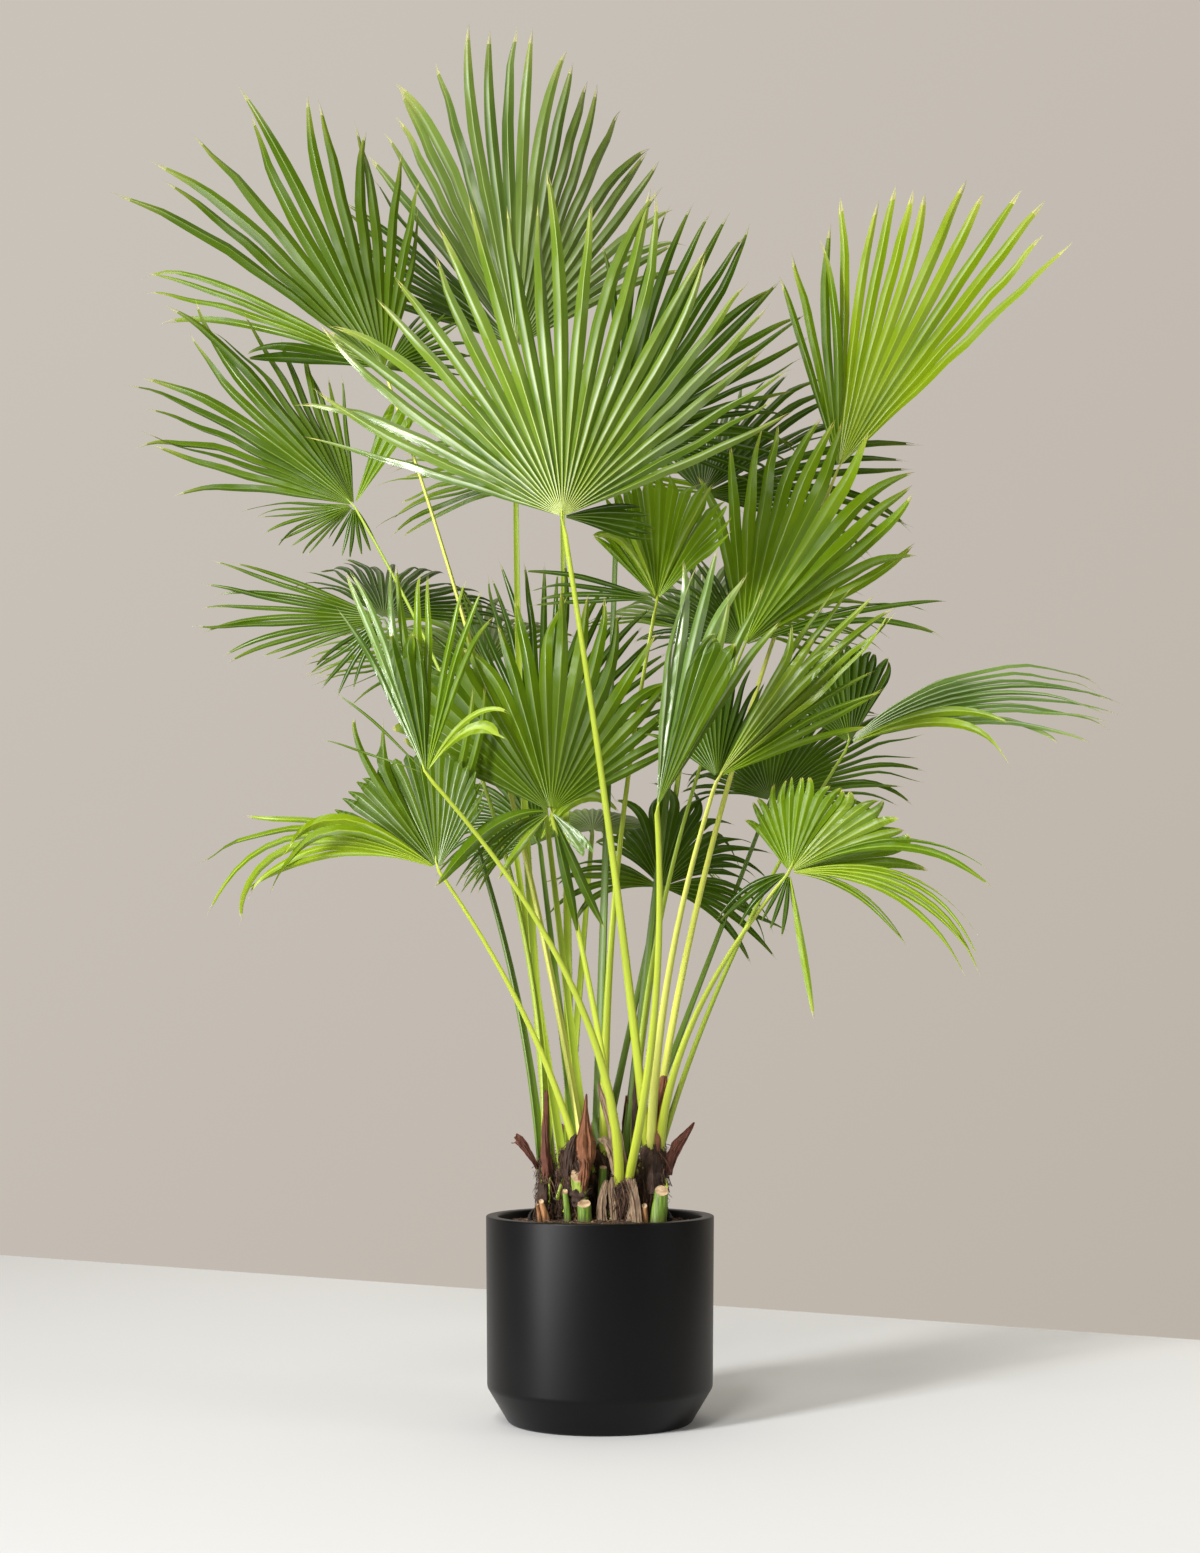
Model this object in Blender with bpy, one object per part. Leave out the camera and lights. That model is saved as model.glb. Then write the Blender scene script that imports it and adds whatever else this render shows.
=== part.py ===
# A clump of chinese fan palm in a round planter.
# Metres, +Z up. The origin is the centre of the planter's flat underside, and the best side faces -Y.
from collections import namedtuple
from math import atan2, ceil, cos, pi, radians, sin, tau

import bmesh
import bpy
from mathutils import Vector

# Planter
potTopRadius = 0.1505
potEdgeRadius = 0.149
potEdgeHeight = 0.047
potFootRadius = 0.121
potHeight = 0.272
potWall = 0.0155
potBottom = 0.022
potInnerFootRadius = 0.117
potRound = 0.004
potEdgeRound = 0.0028
potSides = 40

# What fills the planter
soilTop = 0.257
growRimRadius = 0.0945
growRimWall = 0.0025
growRimHigh = 0.035
growRimLow = 0.012
growRimArc = radians(190)
growRimSteps = 14

# Clearance between pieces that rest on each other
gap = 0.0003

# Stems
stemSides = 8

# Leaf stalks
stalkFootRadius = 0.0052
stalkTipRadius = 0.0032
stalkSides = 6
stalkSteps = 6
stalkSpacing = 0.0122
hubGap = 0.0008

# Blades
bladeHalf = 0.0011
bladeHubHalf = 0.0005
bladeTipHalf = 0.0005
splitShare = 0.56
fingerStep = 14.0
fingerPinch = 0.62
fingerMiddle = 0.82
foldBlend = 28.0
marchSteps = 12
droopPower = 1.6

# Places of stalks and blades are measured as they appear across the planter's middle,
# from a viewpoint this far in front of it and this high
viewDistance = 3.0
viewHeight = 0.5085

# A stem: its foot on the soil, the sideways lean of its top, its top height, and its radii
Stem = namedtuple("Stem", "foot lean top footRadius bellyRadius topRadius")
stems = {
    "stem_left": Stem((-0.073, 0.000), (0.002, 0.000), 0.345, 0.0130, 0.0120, 0.0125),
    "stem_left_middle": Stem((-0.030, -0.012), (0.002, 0.000), 0.372, 0.0165, 0.0205, 0.0160),
    "stem_middle": Stem((0.002, 0.022), (0.000, 0.004), 0.360, 0.0140, 0.0150, 0.0135),
    "stem_front": Stem((0.026, -0.034), (0.004, 0.000), 0.320, 0.0130, 0.0140, 0.0130),
    "stem_right": Stem((0.068, -0.004), (0.004, 0.000), 0.366, 0.0165, 0.0200, 0.0180),
    "stem_back_right": Stem((0.036, 0.058), (0.004, 0.006), 0.350, 0.0160, 0.0180, 0.0160),
    "stem_back_left": Stem((-0.042, 0.056), (-0.004, 0.006), 0.355, 0.0150, 0.0165, 0.0145),
}

# A frond: its stem, its hub (across, depth, up), the bow of its stalk at half way (across, depth),
# the lean of its blade to the right and back from the viewer, its reach, how far it opens to the
# left and right, how far each wing is folded to the viewer, how much it droops, and the share of its
# reach that its outermost left and right fingers have
Frond = namedtuple("Frond", "stem hub bow lean back reach left right foldLeft foldRight droop sideLeft sideRight")
fronds = {
    "top": Frond("stem_left", (-0.110, 0.23, 1.420), (-0.016, 0.0),
                 -8, 8, 0.500, 72, 58, -45, -30, 0.10, 0.78, 0.72),
    "upper_left": Frond("stem_left_middle", (-0.285, 0.06, 1.390), (0.024, 0.0),
                        -34, 6, 0.435, 50, 92, 58, -35, 0.12, 0.55, 0.36),
    "big_centre": Frond("stem_right", (-0.050, -0.21, 1.195), (0.006, 0.0),
                        -3, 14, 0.520, 66, 66, -8, -10, 0.08, 0.64, 0.62),
    "right_bright": Frond("stem_right", (0.315, 0.12, 1.260), (-0.032, 0.0),
                          33, 5, 0.500, 54, 36, -22, 60, 0.06, 0.70, 0.80),
    "upper_right_dark": Frond("stem_middle", (0.025, 0.10, 1.295), (0.0, 0.0),
                              28, 10, 0.385, 32, 42, 10, 0, 0.10, 0.85, 0.66),
    "right_behind": Frond("stem_back_right", (0.135, 0.22, 1.225), (0.0, 0.0),
                          58, 25, 0.330, 80, 50, -40, 40, 0.25, 0.60, 0.60),
    "middle_left": Frond("stem_left", (-0.325, 0.03, 1.210), (0.066, 0.0),
                         -52, 0, 0.370, 84, 86, -60, -35, 0.15, 0.20, 0.50),
    "middle_right": Frond("stem_back_right", (0.190, 0.02, 1.025), (-0.033, 0.0),
                          38, 8, 0.365, 60, 44, -20, -30, 0.16, 0.72, 0.64),
    "small_middle": Frond("stem_middle", (0.075, -0.03, 1.085), (-0.018, 0.0),
                          4, 10, 0.168, 72, 62, 15, 15, 0.10, 0.70, 0.70),
    "arching_left": Frond("stem_left", (-0.285, 0.13, 1.060), (0.037, 0.0),
                          10, 56, 0.340, 88, 52, 0, 0, 0.28, 0.62, 0.78),
    "upright_left": Frond("stem_front", (-0.230, -0.28, 0.855), (0.057, 0.0),
                          -12, 8, 0.275, 50, 55, 60, 45, 0.05, 0.70, 0.70),
    "lower_left": Frond("stem_left_middle", (-0.215, -0.12, 0.730), (0.018, 0.0),
                        -16, 2, 0.285, 52, 58, -10, 12, 1.00, 1.20, 0.60),
    "front_centre": Frond("stem_front", (-0.065, -0.10, 0.805), (0.007, 0.0),
                          0, 9, 0.298, 76, 62, -10, -10, 0.10, 0.50, 0.66),
    "behind_centre": Frond("stem_left_middle", (-0.080, 0.14, 0.875), (0.0, 0.0),
                           0, 8, 0.280, 50, 70, -10, -10, 0.15, 0.62, 0.70),
    "narrow_front": Frond("stem_front", (0.075, -0.27, 0.810), (0.017, 0.0),
                          17, 8, 0.330, 50, 55, 62, 58, 0.03, 0.80, 0.75),
    "folded_right": Frond("stem_right", (0.155, -0.14, 0.850), (-0.017, 0.0),
                          42, 4, 0.310, 60, 45, 30, 60, 0.06, 0.36, 0.80),
    "arching_right": Frond("stem_right", (0.330, 0.03, 0.895), (-0.024, 0.0),
                           66, 0, 0.385, 106, 20, -58, 50, 0.42, 0.25, 0.85),
    "lower_right": Frond("stem_right", (0.250, -0.17, 0.725), (-0.033, 0.0),
                         90, -14, 0.257, 104, 50, -15, -15, 0.28, 0.34, 0.38),
    "low_centre": Frond("stem_middle", (0.080, 0.17, 0.705), (0.0, 0.0),
                        12, 20, 0.190, 66, 66, -20, -10, 0.30, 0.70, 0.70),
    "low_right": Frond("stem_back_right", (0.225, 0.24, 0.820), (0.0, 0.0),
                       24, 25, 0.270, 80, 80, -35, 30, 0.30, 0.65, 0.65),
    "low_left": Frond("stem_left_middle", (-0.080, 0.21, 0.765), (0.0, 0.0),
                      -40, 12, 0.190, 64, 50, 0, -20, 0.80, 0.70, 0.70),
    "back_top": Frond("stem_back_left", (-0.050, 0.38, 1.245), (0.0, 0.0),
                      -4, 40, 0.420, 84, 84, -12, -12, 0.25, 0.70, 0.70),
    "back_right": Frond("stem_back_right", (0.130, 0.35, 1.040), (0.0, 0.0),
                        30, 46, 0.345, 70, 84, -30, 32, 0.35, 0.70, 0.70),
    "back_left": Frond("stem_back_left", (-0.150, 0.33, 1.000), (0.0, 0.0),
                       -32, 46, 0.330, 84, 62, 32, -30, 0.35, 0.70, 0.70),
    "back_low": Frond("stem_back_left", (-0.010, 0.35, 0.780), (0.0, 0.0),
                      0, 66, 0.300, 88, 88, -8, -8, 0.45, 0.70, 0.70),
}

down = Vector((0.0, 0.0, -1.0))
toViewer = Vector((0.0, -1.0, 0.0))


def clearScene():
    for thing in list(bpy.data.objects):
        bpy.data.objects.remove(thing, do_unlink=True)


def material(name, colour, roughness):
    made = bpy.data.materials.new(name)
    made.use_nodes = True
    shader = made.node_tree.nodes["Principled BSDF"]
    shader.inputs["Base Color"].default_value = (*colour, 1.0)
    shader.inputs["Roughness"].default_value = roughness
    shader.inputs["Metallic"].default_value = 0.0
    return made


def addObject(name, points, faces, finish, smooth=False):
    """One closed body from its points and faces, with its faces turned out"""
    mesh = bpy.data.meshes.new(name)
    mesh.from_pydata([tuple(point) for point in points], [], faces)
    shape = bmesh.new()
    shape.from_mesh(mesh)
    bmesh.ops.recalc_face_normals(shape, faces=shape.faces)
    shape.to_mesh(mesh)
    shape.free()
    mesh.materials.append(finish)
    if smooth:
        mesh.shade_smooth()
        mesh.set_sharp_from_angle(angle=radians(40))
    made = bpy.data.objects.new(name, mesh)
    bpy.context.scene.collection.objects.link(made)
    return made


def turned(name, profile, finish, sides):
    """A solid turned about Z from a profile of (radius, height) that begins and ends on the axis"""
    points = [Vector((0, 0, profile[0][1])), Vector((0, 0, profile[-1][1]))]
    rings = []
    for radius, height in profile[1:-1]:
        rings.append(len(points))
        for k in range(sides):
            turn = tau * k / sides
            points.append(Vector((radius * cos(turn), radius * sin(turn), height)))
    faces = []
    for k in range(sides):
        after = (k + 1) % sides
        faces.append((0, rings[0] + k, rings[0] + after))
        faces.append((1, rings[-1] + after, rings[-1] + k))
        for low, high in zip(rings, rings[1:]):
            faces.append((low + k, high + k, high + after, low + after))
    return addObject(name, points, faces, finish, smooth=True)


def lofted(name, rings, finish, smooth=True):
    """A closed solid through rings that all have the same number of points"""
    sides = len(rings[0])
    points = [point for ring in rings for point in ring]
    faces = [tuple(range(sides)), tuple(reversed(range(len(points) - sides, len(points))))]
    for r in range(len(rings) - 1):
        for k in range(sides):
            after = (k + 1) % sides
            low = r * sides
            faces.append((low + k, low + after, low + sides + after, low + sides + k))
    return addObject(name, points, faces, finish, smooth)


def roundedCorner(centre, radius, start, end, steps=3):
    """Points of an arc in the profile plane, from one angle to another"""
    arc = []
    for k in range(steps + 1):
        turn = radians(start + (end - start) * k / steps)
        arc.append((centre[0] + radius * cos(turn), centre[1] + radius * sin(turn)))
    return arc


def buildPlanter(finish):
    innerTop = potTopRadius - potWall
    profile = [(0.0, 0.0), (potFootRadius - potEdgeRound, 0.0), (potFootRadius, potEdgeRound)]
    profile += [(potEdgeRadius - potEdgeRound, potEdgeHeight - potEdgeRound)]
    profile += [(potEdgeRadius, potEdgeHeight + potEdgeRound)]
    profile += roundedCorner((potTopRadius - potRound, potHeight - potRound), potRound, 0, 90)
    profile += roundedCorner((innerTop + potRound, potHeight - potRound), potRound, 90, 180)
    profile += [(potInnerFootRadius, potBottom), (0.0, potBottom)]
    return turned("planter", profile, finish, potSides)


def innerWallRadius(height):
    """Radius of the planter's inside at a height"""
    innerTop = potTopRadius - potWall
    top = potHeight - potRound
    share = (height - potBottom) / (top - potBottom)
    return potInnerFootRadius + (innerTop - potInnerFootRadius) * share


def buildSoil(finish):
    inset = 2 * gap
    low = potBottom + gap
    profile = [(0.0, low), (innerWallRadius(low) - inset, low), (innerWallRadius(soilTop) - inset, soilTop)]
    profile.append((0.0, soilTop))
    return turned("soil", profile, finish, potSides)


def buildGrowRim(finish):
    """The back of the nursery pot's rim, which stands out of the soil and slopes down to both sides"""
    foot = soilTop + gap
    rings = []
    for k in range(growRimSteps + 1):
        share = k / growRimSteps
        turn = pi / 2 + growRimArc * (share - 0.5)
        top = foot + growRimLow + (growRimHigh - growRimLow) * sin(pi * share)
        out = Vector((cos(turn), sin(turn), 0.0))
        inner = out * (growRimRadius - growRimWall)
        outer = out * growRimRadius
        rings.append([inner + Vector((0, 0, foot)), outer + Vector((0, 0, foot)),
                      outer + Vector((0, 0, top)), inner + Vector((0, 0, top))])
    return lofted("grow_pot_rim", rings, finish)


def stemAxis(stem, share):
    """The middle of a stem at a share of its height"""
    x = stem.foot[0] + stem.lean[0] * share
    y = stem.foot[1] + stem.lean[1] * share
    z = soilTop + gap + (stem.top - soilTop - gap) * share
    return Vector((x, y, z))


def buildStem(name, stem, finish):
    levels = ((0.0, stem.footRadius * 1.12), (0.14, stem.footRadius), (0.45, stem.bellyRadius),
              (0.80, stem.bellyRadius * 0.97), (1.0, stem.topRadius))
    rings = []
    for share, radius in levels:
        middle = stemAxis(stem, share)
        ring = []
        for k in range(stemSides):
            turn = tau * k / stemSides
            ring.append(middle + Vector((radius * cos(turn), radius * sin(turn), 0.0)))
        rings.append(ring)
    return lofted(name, rings, finish)


def seen(across, depth, up):
    """The true place of what appears at (across, up) in the planter's middle plane"""
    spread = 1.0 + depth / viewDistance
    return Vector((across * spread, depth, viewHeight + (up - viewHeight) * spread))


def nearestSlot(free, turn):
    """The free slot that faces a direction most nearly"""
    return max(free, key=lambda slot: cos(slot - turn))


def stalkFeet():
    """Where each stalk stands on its stem: the one that leans out most takes the side it leans to"""
    feet = {}
    for stemName, stem in stems.items():
        top = stemAxis(stem, 1.0)
        ways = [(seen(*frond.hub) - top, name) for name, frond in fronds.items() if frond.stem == stemName]
        ways.sort(key=lambda way: way[0].z / way[0].length)
        first = atan2(ways[0][0].y, ways[0][0].x)
        count = len(ways)
        free = [first + tau * k / count for k in range(count)]
        ring = stalkSpacing / 2 / sin(pi / count)
        for way, name in ways:
            slot = nearestSlot(free, atan2(way.y, way.x))
            free.remove(slot)
            feet[name] = top + Vector((ring * cos(slot), ring * sin(slot), gap))
    return feet


def stalkPoint(foot, middle, hub, share):
    """A point of the bent stalk, on the curve through its foot, its middle and its hub"""
    control = middle * 2 - (foot + hub) / 2
    rest = 1.0 - share
    return foot * (rest * rest) + control * (2 * rest * share) + hub * (share * share)


def stalkMiddle(foot, frond):
    hub = seen(*frond.hub)
    return (foot + hub) / 2 + Vector((frond.bow[0], frond.bow[1], 0.0))


def buildStalk(name, frond, foot, finish):
    hub = seen(*frond.hub)
    middle = stalkMiddle(foot, frond)
    length = (hub - foot).length
    last = 1.0 - hubGap / length
    rings = []
    for r in range(stalkSteps + 1):
        share = last * r / stalkSteps
        point = stalkPoint(foot, middle, hub, share)
        if r == 0:
            point = Vector(foot)
        ahead = stalkPoint(foot, middle, hub, share + 0.01) - stalkPoint(foot, middle, hub, share - 0.01)
        along = Vector((0, 0, 1)) if r == 0 else ahead.normalized()
        across = toViewer.cross(along).normalized()
        upper = along.cross(across)
        radius = stalkFootRadius + (stalkTipRadius - stalkFootRadius) * share
        rings.append([point + across * (radius * cos(tau * k / stalkSides))
                      + upper * (radius * sin(tau * k / stalkSides)) for k in range(stalkSides)])
    return lofted(name + "_stalk", rings, finish)


def bladeAxes(frond):
    """The blade's own directions: along its middle, to its right, and off its upper face"""
    lean = radians(frond.lean)
    back = radians(frond.back)
    along = Vector((sin(lean) * cos(back), sin(back), cos(lean) * cos(back)))
    off = (toViewer - along * toViewer.dot(along)).normalized()
    return along, along.cross(off), off


def fingerReach(frond, angle):
    """Length of the finger at an angle from the blade's middle"""
    widest = frond.right if angle > 0 else frond.left
    outermost = frond.sideRight if angle > 0 else frond.sideLeft
    share = min(1.0, abs(angle) / widest)
    return frond.reach * (1.0 - (1.0 - outermost) * share ** 2)


def fingerPath(frond, angle, share):
    """The point at a share of the way out along the finger at an angle, bent down by its weight"""
    along, side, off = bladeAxes(frond)
    blend = min(1.0, abs(angle) / foldBlend)
    fold = radians(frond.foldRight if angle > 0 else frond.foldLeft) * blend * blend * (3 - 2 * blend)
    turn = radians(angle)
    facing = 1.0 if angle > 0 else -1.0
    start = along * cos(turn) + (side * cos(fold) + off * (facing * sin(fold))) * sin(turn)
    level = Vector((start.x, start.y, 0.0)).length
    point = Vector(seen(*frond.hub))
    steps = max(1, ceil(marchSteps * share))
    stride = fingerReach(frond, angle) * share / steps
    for k in range(steps):
        way = share * (k + 0.5) / steps
        point += (start + down * (frond.droop * 2.2 * level * way ** droopPower)).normalized() * stride
    return point


def bladeFace(frond, angle, share):
    """Direction off the blade's upper face at a point of it"""
    aside = fingerPath(frond, angle + 3, share) - fingerPath(frond, angle - 3, share)
    ahead = fingerPath(frond, angle, share + 0.04) - fingerPath(frond, angle, share - 0.04)
    return ahead.cross(aside).normalized()


def buildBlade(name, frond, finish):
    """The blade's outline as a thin folded sheet: a whole inner fan, then fingers that taper to tips"""
    wide = frond.left + frond.right
    count = max(6, round(wide / fingerStep))
    step = wide / count
    valleys = [-frond.left + step * k for k in range(count + 1)]
    upper = []
    lower = []

    def place(angle, share, half):
        point = fingerPath(frond, angle, share)
        lift = bladeFace(frond, angle, max(share, 0.1)) * half
        upper.append(point + lift)
        lower.append(point - lift)
        return len(upper) - 1

    hub = place(0.0, 0.0, bladeHubHalf)
    splits = [place(angle, splitShare, bladeHalf) for angle in valleys]
    top = []
    rim = []
    for k in range(count):
        middle = valleys[k] + step / 2
        reachOut = step / 2 * fingerPinch
        left = place(middle - reachOut, fingerMiddle, bladeHalf)
        right = place(middle + reachOut, fingerMiddle, bladeHalf)
        tip = place(middle, 1.0, bladeTipHalf)
        top.append((hub, splits[k], splits[k + 1]))
        top.append((splits[k], left, right, splits[k + 1]))
        top.append((left, tip, right))
        rim += [(splits[k], left), (left, tip), (tip, right), (right, splits[k + 1])]
    rim = [(hub, splits[0])] + rim + [(splits[-1], hub)]
    shift = len(upper)
    faces = list(top)
    faces += [tuple(shift + corner for corner in reversed(face)) for face in top]
    faces += [(a, a + shift, b + shift, b) for a, b in rim]
    triangles = []
    for face in faces:
        triangles.append(face[:3])
        if len(face) == 4:
            triangles.append((face[0], face[2], face[3]))
    return addObject(name + "_blade", upper + lower, triangles, finish)


def main():
    clearScene()
    black = material("planter black", (0.010, 0.010, 0.011), 0.45)
    earth = material("potting soil", (0.035, 0.020, 0.012), 0.95)
    nursery = material("nursery pot black", (0.012, 0.012, 0.012), 0.6)
    fibre = material("brown stem fibre", (0.075, 0.035, 0.018), 0.9)
    stalkGreen = material("stalk yellow green", (0.300, 0.420, 0.060), 0.45)
    bladeGreen = material("blade green", (0.075, 0.200, 0.030), 0.4)
    buildPlanter(black)
    buildSoil(earth)
    buildGrowRim(nursery)
    for name, stem in stems.items():
        buildStem(name, stem, fibre)
    feet = stalkFeet()
    for name, frond in fronds.items():
        buildStalk(name, frond, feet[name], stalkGreen)
        buildBlade(name, frond, bladeGreen)


main()
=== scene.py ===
# The looks of a clump of chinese fan palm in a round planter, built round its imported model.
from math import atan2, cos, pi, radians, sin, tau
import bmesh
import bpy
import numpy as np
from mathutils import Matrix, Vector, noise


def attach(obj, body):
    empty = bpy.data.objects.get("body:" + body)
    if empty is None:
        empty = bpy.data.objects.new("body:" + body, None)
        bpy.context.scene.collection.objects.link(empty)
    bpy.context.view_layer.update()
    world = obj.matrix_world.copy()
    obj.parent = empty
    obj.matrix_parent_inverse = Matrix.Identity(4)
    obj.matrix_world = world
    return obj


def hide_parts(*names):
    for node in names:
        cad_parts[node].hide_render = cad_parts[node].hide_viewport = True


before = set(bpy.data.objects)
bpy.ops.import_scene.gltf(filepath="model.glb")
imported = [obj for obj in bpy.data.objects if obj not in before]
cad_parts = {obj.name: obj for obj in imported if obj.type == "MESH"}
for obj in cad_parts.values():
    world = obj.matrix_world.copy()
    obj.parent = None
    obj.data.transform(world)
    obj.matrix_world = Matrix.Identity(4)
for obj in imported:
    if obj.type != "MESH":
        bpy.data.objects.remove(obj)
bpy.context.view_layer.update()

toViewer = Vector((0.0, -1.0, 0.0))


# Node trees

class Wire:
    # an output socket that sums can be written on
    def __init__(self, tree, socket):
        self.tree = tree
        self.socket = socket

    def __add__(self, other):
        return self.tree.maths("ADD", self, other)

    def __radd__(self, other):
        return self.tree.maths("ADD", other, self)

    def __sub__(self, other):
        return self.tree.maths("SUBTRACT", self, other)

    def __rsub__(self, other):
        return self.tree.maths("SUBTRACT", other, self)

    def __mul__(self, other):
        return self.tree.maths("MULTIPLY", self, other)

    def __rmul__(self, other):
        return self.tree.maths("MULTIPLY", other, self)

    def __truediv__(self, other):
        return self.tree.maths("DIVIDE", self, other)

    def __rtruediv__(self, other):
        return self.tree.maths("DIVIDE", other, self)

    def __pow__(self, other):
        return self.tree.maths("POWER", self, other)

    def __gt__(self, other):
        return self.tree.maths("GREATER_THAN", self, other)

    def __lt__(self, other):
        return self.tree.maths("LESS_THAN", self, other)

    def other(self, name):
        # another output of the same node
        return Wire(self.tree, next(s for s in self.socket.node.outputs if s.enabled and s.name == name))


def isVector(value):
    if isinstance(value, Wire):
        return value.socket.type in ("VECTOR", "RGBA")
    return isinstance(value, (Vector, tuple))


class Tree:
    # a shader or geometry tree that is written in sums and short calls
    def __init__(self, nodeTree):
        self.nodeTree = nodeTree

    def node(self, kind, settings=None, values=None):
        made = self.nodeTree.nodes.new(kind)
        made.location = (len(self.nodeTree.nodes) % 12 * 180, -(len(self.nodeTree.nodes) // 12) * 220)
        for name, value in (settings or {}).items():
            if name == "stops":
                self.setStops(made.color_ramp, value)
            else:
                setattr(made, name, value)
        for name, value in (values or {}).items():
            socket = made.inputs[name] if isinstance(name, int) else next(
                s for s in made.inputs if s.enabled and s.name == name)
            for part in value if isinstance(value, list) else [value]:
                if isinstance(part, Wire):
                    self.nodeTree.links.new(part.socket, socket)
                else:
                    socket.default_value = part
        return Wire(self, next((s for s in made.outputs if s.enabled), None))

    def setStops(self, ramp, stops):
        while len(ramp.elements) < len(stops):
            ramp.elements.new(0.5)
        for element, (place, colour) in zip(ramp.elements, stops):
            element.position = place
            element.color = (*colour, 1.0)

    def maths(self, operation, first, second=None):
        values = {0: first} if second is None else {0: first, 1: second}
        if isVector(first) and (second is None or isVector(second)):
            return self.node("ShaderNodeVectorMath", {"operation": operation}, values)
        if isVector(first) or isVector(second):
            vector, number = (first, second) if isVector(first) else (second, first)
            return self.node("ShaderNodeVectorMath", {"operation": "SCALE"}, {0: vector, "Scale": number})
        return self.node("ShaderNodeMath", {"operation": operation}, values)

    def blend(self, share, first, second):
        # one colour into another
        return self.node("ShaderNodeMix", {"data_type": "RGBA"}, {0: share, 6: first, 7: second})

    def ramp(self, value, stops):
        return self.node("ShaderNodeValToRGB", {"stops": stops}, {0: value})

    def clamped(self, value):
        return self.node("ShaderNodeClamp", {}, {0: value})

    def mapped(self, value, low, high, **settings):
        # 0 at low and 1 at high
        return self.node("ShaderNodeMapRange", settings, {0: value, 1: low, 2: high})

    def part(self, vector, axis):
        return self.node("ShaderNodeSeparateXYZ", {}, {0: vector}).other(axis)

    def vector(self, x=0.0, y=0.0, z=0.0):
        return self.node("ShaderNodeCombineXYZ", {}, {0: x, 1: y, 2: z})

    def noise(self, place, scale, detail=2.0, roughness=0.5):
        return self.node("ShaderNodeTexNoise", {}, {
            "Vector": place, "Scale": scale, "Detail": detail, "Roughness": roughness})

    def stretched(self, place, along):
        # coordinates squeezed or stretched by a factor in each direction
        return self.maths("MULTIPLY", place, Vector(along))


# Materials

def finish(name, build, roughness=0.5, **constants):
    # a Principled material: build returns the wires of what changes over the surface
    made = bpy.data.materials.new(name)
    made.use_nodes = True
    tree = Tree(made.node_tree)
    shader = made.node_tree.nodes["Principled BSDF"]
    shader.inputs["Roughness"].default_value = roughness
    for socket, value in constants.items():
        shader.inputs[socket.replace("_", " ")].default_value = value
    place = tree.node("ShaderNodeTexCoord").other("Object")
    for socket, wire in build(tree, place).items():
        if socket == "Bump":
            strength, height = wire
            bump = tree.node("ShaderNodeBump", {}, {
                "Strength": strength, "Distance": 0.001, "Height": height})
            made.node_tree.links.new(bump.socket, shader.inputs["Normal"])
        elif isinstance(wire, Wire):
            made.node_tree.links.new(wire.socket, shader.inputs[socket])
        else:
            shader.inputs[socket].default_value = wire
    return made


def paint(colour):
    return (*colour, 1.0)


# Geometry trees

class Growth(Tree):
    # a Geometry Nodes tree with named inputs
    kinds = {float: "NodeSocketFloat", int: "NodeSocketInt", Vector: "NodeSocketVector",
             "object": "NodeSocketObject", "material": "NodeSocketMaterial"}

    def __init__(self, name, sizes):
        super().__init__(bpy.data.node_groups.new(name, "GeometryNodeTree"))
        face = self.nodeTree.interface
        face.new_socket(name="Geometry", in_out="INPUT", socket_type="NodeSocketGeometry")
        face.new_socket(name="Geometry", in_out="OUTPUT", socket_type="NodeSocketGeometry")
        self.identifiers = {}
        for label, kind in sizes.items():
            made = face.new_socket(name=label, in_out="INPUT", socket_type=self.kinds[kind])
            self.identifiers[label] = made.identifier
        entry = self.node("NodeGroupInput")
        self.start = entry
        self.size = {label: entry.other(label) for label in sizes}

    def random(self, low, high, identity, seedStep):
        return self.node("FunctionNodeRandomValue", {"data_type": "FLOAT"}, {
            "Min": low, "Max": high, "ID": identity, "Seed": self.size["Seed"] + seedStep})

    def attribute(self, name):
        return self.node("GeometryNodeInputNamedAttribute", {"data_type": "FLOAT"}, {"Name": name})

    def store(self, geometry, name, value, **settings):
        return self.node("GeometryNodeStoreNamedAttribute", {"data_type": "FLOAT", **settings}, {
            "Geometry": geometry, "Name": name, "Value": value})

    def index(self):
        return self.node("GeometryNodeInputIndex")

    def strewn(self, label):
        # points all over the source's surface
        return self.node("GeometryNodeDistributePointsOnFaces", {}, {
            "Mesh": self.start, "Density": self.size[label], "Seed": self.size["Seed"]})

    def shape(self, label):
        # the geometry of an object that is handed in
        return self.node("GeometryNodeObjectInfo", {}, {"Object": self.size[label]}).other("Geometry")

    def copies(self, points, shape, **values):
        return self.node("GeometryNodeInstanceOnPoints", {}, {"Points": points, "Instance": shape, **values})

    def real(self, copies):
        return self.node("GeometryNodeRealizeInstances", {}, {"Geometry": copies})

    def moved(self, geometry, **values):
        return self.node("GeometryNodeSetPosition", {}, {"Geometry": geometry, **values})

    def turned(self, direction, **settings):
        return self.node("FunctionNodeAlignRotationToVector", settings, {"Vector": direction})

    def clad(self, geometry, label, **where):
        return self.node("GeometryNodeSetMaterial", {}, {
            "Geometry": geometry, "Material": self.size[label], **where})

    def end(self, geometry):
        self.node("NodeGroupOutput", {}, {"Geometry": geometry})

    def grow(self, name, source, sizes):
        # wears the tree on a source object and keeps the result as a plain mesh object
        modifier = source.modifiers.new("growth", "NODES")
        modifier.node_group = self.nodeTree
        for label, value in sizes.items():
            modifier[self.identifiers[label]] = list(value) if isinstance(value, Vector) else value
        evaluated = source.evaluated_get(bpy.context.evaluated_depsgraph_get())
        mesh = bpy.data.meshes.new_from_object(evaluated)
        source.modifiers.remove(modifier)
        mesh.name = name
        return mesh


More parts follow.
